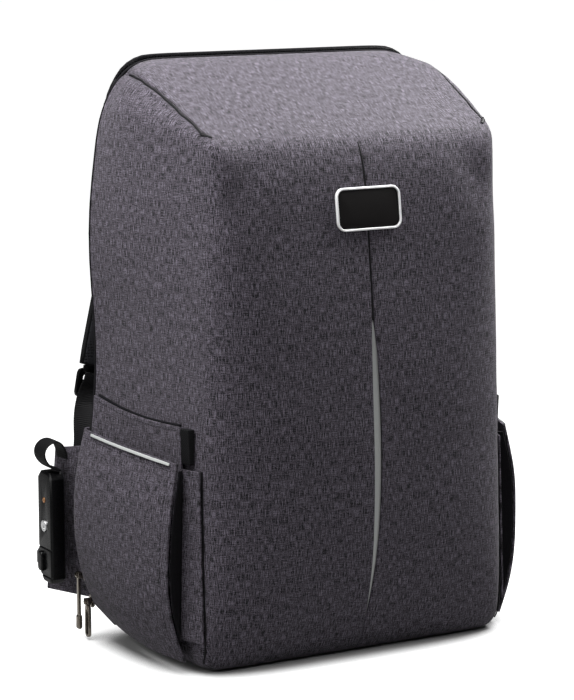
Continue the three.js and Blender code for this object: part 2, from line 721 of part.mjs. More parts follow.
// Grab loop bowed out from the back pad
function haulLoop() {
  const start = PANEL_BACK + GAP + HAUL_THICK / 2;
  const rows = [
    { x: -HAUL_HALF, y: start, z: HAUL_HEIGHT },
    { x: -0.7 * HAUL_HALF, y: start + 0.45 * HAUL_BOW, z: HAUL_HEIGHT },
    { x: 0, y: start + HAUL_BOW, z: HAUL_HEIGHT },
    { x: 0.7 * HAUL_HALF, y: start + 0.45 * HAUL_BOW, z: HAUL_HEIGHT },
    { x: HAUL_HALF, y: start, z: HAUL_HEIGHT },
  ];
  return band(pathOf(rows), 16, () => HAUL_WIDE, () => HAUL_THICK, () => v3(0, 0, 1));
}

// Badge: plate and rim follow the front
function badgeOutline(grow, steps = 6) {
  const wide = BADGE_WIDTH / 2 + grow;
  const tall = BADGE_TALL / 2 + grow;
  const radius = BADGE_RADIUS + grow;
  const points = [];
  for (let corner = 0; corner < 4; corner++) {
    const right = corner === 0 || corner === 3 ? 1 : -1;
    const up = corner < 2 ? 1 : -1;
    for (let i = 0; i <= steps; i++) {
      const turn = (Math.PI / 2) * (corner + i / steps);
      const x = right * (wide - radius) + radius * Math.cos(turn);
      points.push([x, BADGE_HEIGHT + up * (tall - radius) + radius * Math.sin(turn)]);
    }
  }
  return points;
}
const onFront = (points, out) => points.map(([x, z]) => v3(x, frontOf(x, z) - out, z));
function badgeRim() {
  const outer = badgeOutline(0);
  const inner = badgeOutline(-BADGE_RIM);
  const wall = (edge) => [onFront(edge, GAP), onFront(edge, RIM_PROUD)];
  return loft([...wall(outer), ...wall(inner).reverse()], { wrap: true });
}
function badgePlate() {
  const edge = badgeOutline(-BADGE_RIM - GAP);
  const middle = edge.map(([x, z]) => [x * 0.5, lerp(BADGE_HEIGHT, z, 0.5)]);
  const rings = [
    onFront(middle, GAP),
    onFront(edge, GAP),
    onFront(edge, PLATE_PROUD),
    onFront(middle, PLATE_PROUD),
  ];
  const centre = frontOf(0, BADGE_HEIGHT);
  return loft(rings, {
    startPole: v3(0, centre - GAP, BADGE_HEIGHT),
    endPole: v3(0, centre - PLATE_PROUD, BADGE_HEIGHT),
  });
}

// Light strip that shows through the slit
function reflectiveStrip() {
  const skin = (back) => (u, v) => {
    const x = lerp(STRIP_LEFT, STRIP_RIGHT, u);
    const z = lerp(SLIT_FOOT - 6, SLIT_TOP + 8, v);
    return v3(x, frontOf(x, z) + WALL * 1.1 + GAP + back, z);
  };
  return clothWall(2, 16, skin(0), skin(STRIP_THICK));
}

// Zip slider with a fin and a headed pin
const pinX = (slider) => slider.face - PIN_OUT;
function zipSlider(slider) {
  const { pin: height, face, ahead } = slider;
  const { y, z, corner } = SLIDER_HALF;
  const plate = roundedShape(CHAIN_MIDDLE - y, height - z, CHAIN_MIDDLE + y, height + z, corner);
  const body = solid(sidePlate(plate, face - SLIDER_THICK, face, 1));
  const finStart = face - SLIDER_THICK + 0.5;
  const finEnd = pinX(slider) - FIN.proud;
  const fin = new THREE.BoxGeometry(finStart - finEnd, FIN.thick, FIN.tall);
  fin.translate((finStart + finEnd) / 2, CHAIN_MIDDLE, height);
  const pin = new THREE.CylinderGeometry(PIN_RADIUS, PIN_RADIUS, PIN_LENGTH, 16);
  pin.translate(pinX(slider), CHAIN_MIDDLE + (ahead * PIN_LENGTH) / 2, height);
  const head = new THREE.CylinderGeometry(PIN_HEAD.radius, PIN_HEAD.radius, PIN_HEAD.thick, 16);
  head.translate(pinX(slider), CHAIN_MIDDLE + ahead * PIN_HEAD.at, height);
  return geometryOf(body.add(solid(fin)).add(solid(pin)).add(solid(head)));
}
const pullPlate = (shape, { from, to }, segments) =>
  solid(frontPlate(shape, CHAIN_MIDDLE + from, CHAIN_MIDDLE + to, segments));
function pullEye(pull, slider) {
  const shape = disc(pinX(slider), slider.pin, EYE_RADIUS);
  shape.holes.push(disc(pinX(slider), slider.pin, EYE_HOLE, THREE.Path));
  return pullPlate(shape, pull, 8);
}
// Upper pull: a bar with an eye and a rounded pad at its foot
function upperPull() {
  const { foot, pad, barHalf, padHalf } = UPPER_PULL;
  const x = pinX(UPPER_SLIDER);
  const bar = roundedShape(x - barHalf, foot + 4, x + barHalf, UPPER_SLIDER.pin - 2, 0.4);
  const end = roundedShape(x - padHalf, foot, x + padHalf, pad, padHalf - 0.1);
  const shaft = pullPlate(bar, UPPER_PULL).add(pullPlate(end, UPPER_PULL));
  return geometryOf(pullEye(UPPER_PULL, UPPER_SLIDER).add(shaft));
}
// Lower pull: an eye and a flat oval ring
function lowerPull() {
  const { foot, half, inner, thick } = LOWER_PULL;
  const middle = CHAIN_MIDDLE + LOWER_PULL.middle;
  const top = LOWER_SLIDER.pin - 1.9;
  const wire = half - inner;
  const oval = roundedShape(middle - half, foot, middle + half, top, half - 0.1);
  const hole = roundedShape(middle - inner, foot + wire, middle + inner, top - 5, inner - 0.1, THREE.Path);
  oval.holes.push(hole);
  const x = pinX(LOWER_SLIDER);
  const ring = solid(sidePlate(oval, x - thick / 2, x + thick / 2));
  return geometryOf(pullEye(LOWER_PULL, LOWER_SLIDER).add(ring));
}

// Lock: body with a cut-off lower back corner, bores for cylinder, window and button
function buttonShape(grow) {
  const wide = BUTTON.wide / 2 + grow;
  const tall = BUTTON.tall / 2 + grow;
  return roundedShape(BUTTON.y - wide, BUTTON.z - tall, BUTTON.y + wide, BUTTON.z + tall, wide - 0.8);
}
function lockBody() {
  const outline = new THREE.Shape();
  outline.moveTo(LOCK_FRONT, LOCK_FOOT + 4);
  outline.lineTo(LOCK_FRONT + 4, LOCK_FOOT);
  outline.lineTo(LOCK_BACK - 9, LOCK_FOOT);
  outline.lineTo(LOCK_BACK, THUMB.from);
  outline.lineTo(LOCK_BACK + THUMB.proud, THUMB.from + THUMB.slope);
  outline.lineTo(LOCK_BACK + THUMB.proud, THUMB.to - THUMB.slope);
  outline.lineTo(LOCK_BACK, THUMB.to);
  outline.lineTo(LOCK_BACK, LOCK_TOP - 5);
  outline.lineTo(LOCK_BACK - 5, LOCK_TOP);
  outline.lineTo(LOCK_FRONT + 5, LOCK_TOP);
  outline.lineTo(LOCK_FRONT, LOCK_TOP - 5);
  outline.closePath();
  let body = solid(sidePlate(outline, LOCK_FACE, LOCK_INNER, LOCK_BEVEL));
  for (const spot of [CYLINDER, WINDOW]) {
    const bore = sidePlate(disc(spot.y, spot.z, spot.bore), LOCK_FACE - 1, LOCK_FACE + spot.deep, 0, 8);
    body = body.subtract(solid(bore));
  }
  const recess = sidePlate(buttonShape(BUTTON.clear), LOCK_FACE - 1, LOCK_FACE + BUTTON.deep);
  body = body.subtract(solid(recess));
  const { heights, deep, tall } = LOCK_GROOVES;
  for (const height of heights) {
    const groove = new THREE.BoxGeometry(2 * deep, LOCK_BACK - LOCK_FRONT + 2, tall);
    groove.translate(LOCK_FACE, (LOCK_FRONT + LOCK_BACK) / 2, height);
    body = body.subtract(solid(groove));
  }
  return geometryOf(body);
}
function lockPlug(spot) {
  const shape = disc(spot.y, spot.z, spot.radius);
  return sidePlate(shape, LOCK_FACE - spot.proud, LOCK_FACE + spot.deep - GAP, 0, 8);
}
function lockCylinder() {
  const slot = new THREE.BoxGeometry(2 * KEY_SLOT.deep, KEY_SLOT.wide, KEY_SLOT.tall);
  slot.translate(LOCK_FACE - CYLINDER.proud, CYLINDER.y, CYLINDER.z);
  return geometryOf(solid(lockPlug(CYLINDER)).subtract(solid(slot)));
}
function lockButton() {
  const inner = LOCK_FACE - BUTTON.proud + BUTTON.long;
  return sidePlate(buttonShape(0), LOCK_FACE - BUTTON.proud, inner, 0.6);
}
const LOCK_LOOP = [
  { x: -182.5, y: 103, z: 137.6 },
  { x: -187.5, y: 103, z: 138.8 },
  { x: -192.4, y: 103.3, z: 142 },
  { x: -196, y: 103.8, z: 147.4 },
  { x: -196.6, y: 104.2, z: 153 },
  { x: -193.6, y: 104.5, z: 158 },
  { x: -188.5, y: 104.5, z: 160.6 },
  { x: -182.4, y: 104, z: 160 },
  { x: -178.4, y: 103.5, z: 153.5 },
  { x: -177, y: 103, z: 145.5 },
];
function lockWebbing() {
  return band(pathOf(LOCK_LOOP), 14, () => LOOP_WIDE, () => LOOP_THICK, () => v3(0, 1, 0));
}

// Materials
const CLOTHS = { color: 0x4a494e, roughness: 0.9 };
const BLACK = { color: 0x17171a, roughness: 0.85 };
const MESH_BLACK = { color: 0x1d1d20, roughness: 0.95 };
const SILVER = { color: 0xb9babd, roughness: 0.35, metalness: 0.6 };
const STEEL = { color: 0x8f8778, roughness: 0.35, metalness: 0.9 };
const PLASTIC = { color: 0x141416, roughness: 0.45 };
const TAPE = { color: 0xa9abad, roughness: 0.5 };
const BRONZE = { color: 0x7d6a3d, roughness: 0.4, metalness: 0.8 };

const backpack = new THREE.Group();
backpack.name = "laptop_backpack";
function piece(name, geometry, look) {
  const mesh = new THREE.Mesh(geometry, new THREE.MeshStandardMaterial(look));
  mesh.name = name;
  backpack.add(mesh);
}

piece("front_shell", bodyShell(), CLOTHS);
piece("zip_gusset", zipGusset(), BLACK);
piece("zip_chain", zipChain(), PLASTIC);
piece("back_panel", backPanel(), MESH_BLACK);
piece("haul_loop", haulLoop(), BLACK);
piece("badge_rim", badgeRim(), SILVER);
piece("badge_plate", badgePlate(), PLASTIC);
piece("reflective_strip", reflectiveStrip(), TAPE);
for (const [label, side] of [["left", -1], ["right", 1]]) {
  piece(`pocket_outer_${label}`, outerPocket(side), CLOTHS);
  piece(`pocket_piping_${label}`, pocketPiping(side), TAPE);
  piece(`pocket_inner_${label}`, innerPocket(side), CLOTHS);
  piece(`pocket_gusset_${label}`, pocketGusset(side), CLOTHS);
  piece(`pocket_binding_${label}`, pocketBinding(side), BLACK);
  piece(`anchor_wing_${label}`, wing(side), CLOTHS);
  piece(`strap_pad_${label}`, strapPad(side), MESH_BLACK);
  piece(`ladder_lock_${label}`, ladderLock(side), PLASTIC);
  piece(`strap_webbing_${label}`, strapWebbing(side), BLACK);
}
piece("zip_slider_upper", zipSlider(UPPER_SLIDER), STEEL);
piece("zip_slider_lower", zipSlider(LOWER_SLIDER), STEEL);
piece("zip_pull_upper", upperPull(), STEEL);
piece("zip_pull_lower", lowerPull(), STEEL);
piece("lock_body", lockBody(), PLASTIC);
piece("lock_cylinder", lockCylinder(), SILVER);
piece("lock_window", lockPlug(WINDOW), BRONZE);
piece("lock_button", lockButton(), PLASTIC);
piece("lock_webbing", lockWebbing(), BLACK);

export default backpack;
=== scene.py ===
import math

import bmesh
import bpy
from bpy.props import FloatProperty, FloatVectorProperty, PointerProperty
from mathutils import Matrix, Vector, noise
from mathutils.bvhtree import BVHTree


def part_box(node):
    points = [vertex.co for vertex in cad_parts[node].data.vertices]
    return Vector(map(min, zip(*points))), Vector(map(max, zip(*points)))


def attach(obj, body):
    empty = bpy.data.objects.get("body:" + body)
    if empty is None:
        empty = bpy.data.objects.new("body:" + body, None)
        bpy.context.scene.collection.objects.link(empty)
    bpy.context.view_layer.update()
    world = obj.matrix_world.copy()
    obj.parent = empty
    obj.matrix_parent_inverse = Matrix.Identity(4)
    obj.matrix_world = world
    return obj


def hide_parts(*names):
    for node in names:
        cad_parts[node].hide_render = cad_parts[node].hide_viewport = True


bl_info = {
    "name": "Laptop Backpack",
    "version": (1, 0, 0),
    "blender": (4, 5, 0),
    "location": "3D View > Sidebar > Backpack",
    "description": "Dresses the frame of a laptop backpack in cloth, webbing, zip and lock",
    "category": "Object",
}

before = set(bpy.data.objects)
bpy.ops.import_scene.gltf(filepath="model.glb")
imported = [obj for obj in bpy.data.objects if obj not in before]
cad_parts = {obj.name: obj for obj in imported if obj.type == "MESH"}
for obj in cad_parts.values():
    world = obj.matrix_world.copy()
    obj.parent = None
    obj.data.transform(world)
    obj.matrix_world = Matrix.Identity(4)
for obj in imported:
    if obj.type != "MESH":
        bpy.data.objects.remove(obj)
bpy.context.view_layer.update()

MM = 0.001
JOIN = 0.02 * MM  # corners closer than this are one corner
BAG = "bag"
SIDES = (("left", -1), ("right", 1))
X, Y, Z = Vector((1, 0, 0)), Vector((0, 1, 0)), Vector((0, 0, 1))


def linear(hexadecimal):
    """Linear colour of an sRGB hex value."""
    parts = [int(hexadecimal[i:i + 2], 16) / 255 for i in (1, 3, 5)]
    return [c / 12.92 if c <= 0.04045 else ((c + 0.055) / 1.055) ** 2.4 for c in parts]


def length(label, text, millimetres):
    """A size property, given in millimetres and kept in metres."""
    return FloatProperty(name=label, description=text, default=millimetres * MM, unit="LENGTH", precision=4)


def colour(label, text, hexadecimal):
    """A colour property, given as an sRGB hex value."""
    return FloatVectorProperty(
        name=label, description=text, default=linear(hexadecimal), subtype="COLOR", min=0, max=1
    )


class BackpackSizes(bpy.types.PropertyGroup):
    """Sizes of the sewn and moulded details."""

    slit_width: length("Slit width", "Widest opening of the front slit", 7)
    slit_top: length("Slit top", "Height where the slit closes at its top", 272)
    slit_foot: length("Slit foot", "Height where the slit closes at its foot", 30)
    slit_bow: length("Slit bow", "How far the slit bows to the right", 2.6)
    seam_top: length("Seam top", "Height where the middle seam of the front begins", 405)
    seam_depth: length("Seam depth", "Depth of the middle seam", 1.3)
    dart_depth: length("Dart depth", "Depth of the fold along each dart", 4.6)
    dent_depth: length("Dent depth", "Depth of the soft dents in the cloth", 1.1)
    strip_depth: length("Strip depth", "Depth of the light strip behind the slit", 2.2)
    wall: length("Wall", "Thickness of the body cloth with its foam", 1.6)
    tooth_pitch: length("Zip pitch", "Distance between zip teeth", 1.3)
    stitch_length: length("Stitch length", "Length of one stitch", 2.6)
    stitch_gap: length("Stitch gap", "Distance between stitches", 1.1)
    thread: length("Thread", "Thickness of the sewing thread", 0.55)
    piping: length("Piping", "Radius of the piping round the back", 2.0)
    binding: length("Strap binding", "Radius of the bound strap edges", 2.4)
    voxel: length("Pad grid", "Grid size of the padded back before it is swollen", 5)
    swell: length("Pad swell", "The most that the padded back swells", 2.6)
    channel: length("Pad channel", "Depth of the sewn channels of the padded back", 2.4)


class BackpackColours(bpy.types.PropertyGroup):
    """Colours of the finishes."""

    yarn_dark: colour("Dark yarn", "Dark yarn of the body cloth", "#0d0c0e")
    yarn_light: colour("Light yarn", "Light yarn of the body cloth", "#645e69")
    black_yarn: colour("Black yarn", "Yarn of the black cloth", "#131215")
    webbing_yarn: colour("Webbing yarn", "Yarn of the black webbing", "#09090b")
    mesh_yarn: colour("Mesh yarn", "Yarn of the back and strap mesh", "#1b1b1e")
    thread: colour("Thread", "Sewing thread", "#0e0d10")
    plastic: colour("Plastic", "Moulded black plastic", "#040405")
    badge: colour("Badge", "Face of the badge", "#0a0808")
    silver: colour("Silver", "Satin rim of the badge and key cylinder", "#f0f0f1")
    zinc: colour("Zinc", "Plated zip pulls and sliders", "#9d958a")
    bronze: colour("Bronze", "Lock window", "#a8764a")
    tape: colour("Tape", "Light reflective tape", "#aeb0af")
    floor: colour("Floor", "Studio floor", "#9c9c9c")


def sizes():
    return bpy.context.scene.backpack_sizes


def colours():
    return bpy.context.scene.backpack_colours


# Materials

def node(tree, kind, inputs=None, **settings):
    """Adds a node with its settings; an input takes a value, a socket or a node's first output."""
    made = tree.nodes.new(kind)
    for name, value in settings.items():
        setattr(made, name, value)
    for name, value in (inputs or {}).items():
        if isinstance(value, bpy.types.Node):
            value = value.outputs[0]
        if isinstance(value, bpy.types.NodeSocket):
            tree.links.new(value, made.inputs[name])
        else:
            made.inputs[name].default_value = value
    return made


def rgba(value, share=1.0):
    return (*(share * c for c in value), 1)


def grains(across, along):
    """Scale of a pattern whose grains are so many millimetres wide and long."""
    return (1 / (across * MM), 1 / (along * MM), 1 / (across * MM))


def new_material(name, surface, *settings):
    """A material; surface adds the nodes of its pattern and gives what its shader takes."""
    material = bpy.data.materials.new(name)
    material.use_nodes = True
    tree = material.node_tree
    tree.nodes.clear()
    shader = node(tree, "ShaderNodeBsdfPrincipled", surface(tree, *settings))
    node(tree, "ShaderNodeOutputMaterial", {"Surface": shader})
    return material


def melange_polyester(tree):
    """Woven polyester of dark and light yarns: a speckled cloth with slubs along both threads.

    Its threads are about 0.4 mm apart, so fine that they are drawn 0.55 mm apart to show.
    """
    place = node(tree, "ShaderNodeUVMap", uv_map="weave")
    yarns = []
    for across, along in ((0.55, 7), (7, 0.55), (0.6, 0.9)):
        laid = node(tree, "ShaderNodeMapping", {"Vector": place, "Scale": grains(across, along)})
        yarns.append(node(tree, "ShaderNodeTexNoise", {"Vector": laid, "Scale": 1, "Detail": 1}))
    warp, weft, fleck = yarns
    upright = node(tree, "ShaderNodeMath", {0: fleck, 1: 0.7, 2: warp}, operation="MULTIPLY_ADD")
    cloth = node(tree, "ShaderNodeMath", {0: weft, 1: 0.6, 2: upright}, operation="MULTIPLY_ADD")
    share = node(tree, "ShaderNodeMapRange", {"Value": cloth, "From Min": 1.01, "From Max": 1.44})
    dark, light = rgba(colours().yarn_dark), rgba(colours().yarn_light)
    shade = node(tree, "ShaderNodeMix", {0: share, 6: dark, 7: light}, data_type="RGBA")
    relief = node(tree, "ShaderNodeBump", {"Height": cloth, "Strength": 0.4, "Distance": 0.35 * MM})
    return {
        "Base Color": shade.outputs[2], "Normal": relief, "Roughness": 0.82,
        "Specular IOR Level": 0.15, "Sheen Weight": 0.06,
    }


def black_polyester(tree, yarn):
    """Plain woven black polyester: matt, with a faint thread, drawn 0.9 mm wide to show."""
    place = node(tree, "ShaderNodeTexCoord").outputs["Object"]
    grain = node(tree, "ShaderNodeTexNoise", {"Vector": place, "Scale": 1 / (0.9 * MM), "Detail": 1.5})
    share = node(tree, "ShaderNodeMapRange", {"Value": grain, "From Min": 0.36, "From Max": 0.64})
    shade = node(tree, "ShaderNodeMix", {0: share, 6: rgba(yarn, 0.55), 7: rgba(yarn)}, data_type="RGBA")
    relief = node(tree, "ShaderNodeBump", {"Height": grain, "Strength": 0.4, "Distance": 0.3 * MM})
    return {
        "Base Color": shade.outputs[2], "Normal": relief, "Roughness": 0.9,
        "Specular IOR Level": 0.08, "Sheen Weight": 0.01,
    }


def spacer_mesh(tree, yarn):
    """Knitted spacer mesh over foam: rows of small round holes about 2.4 mm apart."""
    place = node(tree, "ShaderNodeTexCoord").outputs["Object"]
    cells = node(tree, "ShaderNodeTexVoronoi", {"Vector": place, "Scale": 1 / (2.4 * MM), "Randomness": 0.25})
    knit = node(tree, "ShaderNodeMapRange", {"Value": cells, "From Min": 0.18, "From Max": 0.42})
    shade = node(tree, "ShaderNodeMix", {0: knit, 6: rgba(yarn, 0.3), 7: rgba(yarn)}, data_type="RGBA")
    relief = node(tree, "ShaderNodeBump", {"Height": knit, "Strength": 0.6, "Distance": 0.8 * MM})
    return {
        "Base Color": shade.outputs[2], "Normal": relief, "Roughness": 0.9,
        "Specular IOR Level": 0.1, "Sheen Weight": 0.03,
    }


def ribbed_webbing(tree, yarn):
    """Woven polypropylene webbing: ribs about 1.6 mm apart across it and a soft gloss."""
    place = node(tree, "ShaderNodeUVMap", uv_map="weave")
    waves = []
    for apart, direction in ((1.6, "Y"), (1.2, "DIAGONAL")):
        pitch = math.pi / (10 * apart * MM)
        wave = node(
            tree, "ShaderNodeTexWave", {"Vector": place, "Scale": pitch},
            wave_type="BANDS", bands_direction=direction,
        )
        waves.append(wave.outputs["Fac"])
    height = node(tree, "ShaderNodeMath", dict(enumerate(waves)), operation="ADD")
    share = node(tree, "ShaderNodeMapRange", {"Value": height, "From Min": 0.3, "From Max": 1.6})
    shade = node(tree, "ShaderNodeMix", {0: share, 6: rgba(yarn, 0.5), 7: rgba(yarn)}, data_type="RGBA")
    relief = node(tree, "ShaderNodeBump", {"Height": height, "Strength": 0.4, "Distance": 0.3 * MM})
    return {"Base Color": shade.outputs[2], "Normal": relief, "Roughness": 0.7, "Specular IOR Level": 0.15}


def moulded_plastic(tree, shade, roughness, grit):
    """Injection-moulded plastic: satin gloss over a fine spark-eroded grain."""
    place = node(tree, "ShaderNodeTexCoord").outputs["Object"]
    grain = node(tree, "ShaderNodeTexNoise", {"Vector": place, "Scale": 1 / (grit * MM), "Detail": 1.5})
    spread = {"To Min": roughness - 0.08, "To Max": roughness + 0.1}
    rough = node(tree, "ShaderNodeMapRange", {"Value": grain, **spread})
    relief = node(tree, "ShaderNodeBump", {"Height": grain, "Strength": 0.12, "Distance": 0.1 * MM})
    return {"Base Color": rgba(shade), "Normal": relief, "Roughness": rough, "Specular IOR Level": 0.18}


def plated_metal(tree, shade, roughness, metallic=1.0):
    """Plated casting: bright, with fine polishing lines and a little wear.

    The badge rim is plated over moulded ABS, so a part of its paleness is a plain satin.
    """
    place = node(tree, "ShaderNodeTexCoord").outputs["Object"]
    laid = node(tree, "ShaderNodeMapping", {"Vector": place, "Scale": grains(0.4, 3)})
    lines = node(tree, "ShaderNodeTexNoise", {"Vector": laid, "Scale": 1, "Detail": 1})
    wear = node(tree, "ShaderNodeTexNoise", {"Vector": place, "Scale": 1 / (3 * MM), "Detail": 2})
    worn = node(tree, "ShaderNodeMix", {0: wear, 6: rgba(shade, 0.8), 7: rgba(shade)}, data_type="RGBA")
    spread = {"To Min": roughness - 0.08, "To Max": roughness + 0.1}
    rough = node(tree, "ShaderNodeMapRange", {"Value": lines, **spread})
    relief = node(tree, "ShaderNodeBump", {"Height": lines, "Strength": 0.06, "Distance": 0.05 * MM})
    return {"Base Color": worn.outputs[2], "Normal": relief, "Roughness": rough, "Metallic": metallic}


def fine_grained(tree, shade, roughness, grit):
    """Surface with a fine even grain: glass beads on reflective tape, or twisted thread."""
    place = node(tree, "ShaderNodeTexCoord").outputs["Object"]
    grain = node(tree, "ShaderNodeTexNoise", {"Vector": place, "Scale": 1 / (grit * MM), "Detail": 1})
    tone = node(tree, "ShaderNodeMix", {0: grain, 6: rgba(shade, 0.75), 7: rgba(shade)}, data_type="RGBA")
    relief = node(tree, "ShaderNodeBump", {"Height": grain, "Strength": 0.15, "Distance": 0.1 * MM})
    return {
        "Base Color": tone.outputs[2], "Normal": relief, "Roughness": roughness, "Specular IOR Level": 0.15
    }


def matt_paper(tree, shade):
    """Matt background paper, white to the camera but for a soft shadow where the bag stands on it."""
    seen = node(tree, "ShaderNodeLightPath").outputs["Is Camera Ray"]
    near = node(tree, "ShaderNodeAmbientOcclusion", {"Distance": CONTACT_REACH}, samples=16).outputs["AO"]
    lit = node(tree, "ShaderNodeMapRange", {"Value": near, "From Min": 0.35, "From Max": 0.85})
    glow = node(tree, "ShaderNodeMath", {0: lit, 1: seen}, operation="MULTIPLY")
    return {
        "Base Color": rgba(shade), "Roughness": 0.9,
        "Emission Color": (1, 1, 1, 1), "Emission Strength": glow,
    }


LOOKS = {}


def look(name):
    """The named finish, made the first time that it is asked for."""
    hues = colours()
    finishes = {
        "charcoal_cloth": ("woven_melange_polyester", melange_polyester),
        "black_cloth": ("plain_woven_polyester", black_polyester, hues.black_yarn),
        "black_mesh": ("knitted_spacer_mesh", spacer_mesh, hues.mesh_yarn),
        "black_webbing": ("woven_polypropylene_webbing", ribbed_webbing, hues.webbing_yarn),
        "black_plastic": ("moulded_black_nylon", moulded_plastic, hues.plastic, 0.28, 0.6),
        "badge_face": ("moulded_badge_face", moulded_plastic, hues.badge, 0.5, 0.4),
        "silver_metal": ("polished_nickel_plate", plated_metal, hues.silver, 0.3),
        "badge_rim": ("satin_plated_abs", plated_metal, hues.silver, 0.42, 0.35),
        "zinc": ("plated_die_cast_zinc", plated_metal, hues.zinc, 0.17),
        "bronze": ("satin_bronze", plated_metal, hues.bronze, 0.35, 0.5),
        "light_tape": ("glass_bead_reflective_tape", fine_grained, hues.tape, 0.45, 0.5),
        "thread": ("twisted_polyester_thread", fine_grained, hues.thread, 0.6, 0.3),
        "paper": ("matt_paper", matt_paper, hues.floor),
    }
    if name not in LOOKS:
        LOOKS[name] = new_material(*finishes[name])
    return LOOKS[name]


# Making pieces

def piece_of(name, bm, finish, nodes=(), body=BAG, sharp=None):
    """Turns a bmesh into a piece of the object, with the material of its finish."""
    mesh = bpy.data.meshes.new(name)
    bm.to_mesh(mesh)
    bm.free()
    mesh.polygons.foreach_set("use_smooth", [True] * len(mesh.polygons))
    if sharp is not None:
        mesh.set_sharp_from_angle(angle=math.radians(sharp))
    mesh.materials.append(look(finish))
    piece = bpy.data.objects.new(name, mesh)
    bpy.context.scene.collection.objects.link(piece)
    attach(piece, body)
    if nodes:
        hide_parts(*nodes)
    return piece


def subdivide(piece, levels):
    modifier = piece.modifiers.new("Soft", "SUBSURF")
    modifier.levels = modifier.render_levels = levels


def joined_copy(node_name):
    """Copy of a CAD node with its corners joined."""
    bm = bmesh.new()
    bm.from_mesh(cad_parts[node_name].data)
    bmesh.ops.remove_doubles(bm, verts=bm.verts, dist=JOIN)
    return bm


def merged_copy(node_name):
    """Copy of a CAD node with its pairs of triangles made quads."""
    bm = joined_copy(node_name)
    bmesh.ops.join_triangles(
        bm, faces=bm.faces, angle_face_threshold=math.radians(40), angle_shape_threshold=math.radians(80)
    )
    return bm


def thicken(piece, thickness, offset=-1):
    modifier = piece.modifiers.new("Wall", "SOLIDIFY")
    modifier.thickness = thickness
    modifier.offset = offset


def cloth_grid(across, up, place):
    """A sheet of quads; place gives the spot at a share across and a share up."""
    bm = bmesh.new()
    bmesh.ops.create_grid(bm, x_segments=across, y_segments=up, size=1)
    for vert in bm.verts:
        vert.co = place((vert.co.x + 1) / 2, (vert.co.y + 1) / 2)
    bmesh.ops.recalc_face_normals(bm, faces=bm.faces)
    return bm


def sharp_edges(bm, degrees):
    limit = math.radians(degrees)
    return [e for e in bm.edges if len(e.link_faces) == 2 and e.calc_face_angle() > limit]


def round_edges(bm, rounding, segments, degrees):
    """Rounds the edges that are sharper than so many degrees, by a radius in millimetres."""
    bmesh.ops.bevel(
        bm, geom=sharp_edges(bm, degrees), offset=rounding * MM, offset_type="OFFSET",
        segments=segments, profile=0.5, affect="EDGES", material=-1, clamp_overlap=True,
    )


def soft_piece(name, node_name, finish, rounding, weave=None, levels=2):
    """Cloth piece in place of a CAD node: rounded rims, and a weave map along two directions."""
    bm = merged_copy(node_name)
    round_edges(bm, rounding, segments=2, degrees=55)
    if weave:
        across, along = weave
        lay_weave(bm, lambda vert: (vert.co.dot(across), vert.co.dot(along)))
    piece = piece_of(name, bm, finish, [node_name])
    if levels:
        subdivide(piece, levels)
    return piece


def hard_piece(name, node_name, finish, rounding, slot=None, body=BAG, degrees=32, sharp=40):
    """Moulded or cast piece in place of a CAD node: flat faces made whole and edges rounded."""
    bm = joined_copy(node_name)
    bmesh.ops.dissolve_limit(bm, angle_limit=math.radians(1), verts=bm.verts, edges=bm.edges)
    round_edges(bm, rounding, segments=3, degrees=degrees)
    return piece_of(name, bm, finish, [node_name], body, sharp)


def lay_weave(bm, place):
    """Weave map in metres; place gives the spot of a vertex across and along the cloth."""
    layer = bm.loops.layers.uv.new("weave")
    for face in bm.faces:
        for loop in face.loops:
            loop[layer].uv = place(loop.vert)


def skin_of(node_name, levels=2):
    """Smooth skin of a CAD node, to look at along straight lines."""
    bm = merged_copy(node_name)
    crease = bm.edges.layers.float.new("crease_edge")
    for edge in sharp_edges(bm, 50):
        edge[crease] = 1
    mesh = bpy.data.meshes.new("skin")
    bm.to_mesh(mesh)
    bm.free()
    stand_in = bpy.data.objects.new("skin", mesh)
    bpy.context.scene.collection.objects.link(stand_in)
    subdivide(stand_in, levels)
    tree = BVHTree.FromObject(stand_in, bpy.context.evaluated_depsgraph_get())
    bpy.data.objects.remove(stand_in)
    bpy.data.meshes.remove(mesh)
    return tree


def look_at(skin, eye, along):
    """Spot and outward normal where a straight look meets a skin."""
    spot, normal, _, _ = skin.ray_cast(eye, along)
    if spot is None:
        raise RuntimeError(f"nothing to see from {tuple(eye)} along {tuple(along)}")
    return spot, normal


def lerp(a, b, t):
    return a + (b - a) * t


def smoothstep(t):
    t = min(1.0, max(0.0, t))
    return t * t * (3 - 2 * t)


def blend_rows(rows, key):
    """Values between the rows of a table, found by their first column."""
    if key <= rows[0][0]:
        return rows[0][1:]
    for low, high in zip(rows, rows[1:]):
        if key <= high[0]:
            t = (key - low[0]) / (high[0] - low[0])
            return [lerp(a, b, t) for a, b in zip(low[1:], high[1:])]
    return rows[-1][1:]


# Sewing

def even_steps(points, pitch):
    """Spots and directions an even pitch apart along a line of points."""
    found = []
    carried = pitch / 2
    for start, end in zip(points, points[1:]):
        run = (end - start).length
        while carried <= run:
            found.append((start.lerp(end, carried / run), (end - start) / run))
            carried += pitch
        carried -= run
    return found


def sew(name, rows):
    """Rows of stitches, each a small swollen thread; a row is a skin and a line of points on it."""
    bm = bmesh.new()
    pitch = sizes().stitch_length + sizes().stitch_gap
    half = sizes().thread / 2
    for skin, line in rows:
        for spot, run in even_steps(line, pitch):
            spot, out, _, _ = skin.find_nearest(spot)
            out = (out - run * out.dot(run)).normalized()
            turn = Matrix((run, out.cross(run), out)).transposed().to_4x4()
            shape = Matrix.Diagonal((sizes().stitch_length / 2, half, half, 1))
            place = Matrix.Translation(spot + out * half * 0.4) @ turn @ shape
            bmesh.ops.create_icosphere(bm, subdivisions=1, radius=1, matrix=place)
    return piece_of(name, bm, "thread")


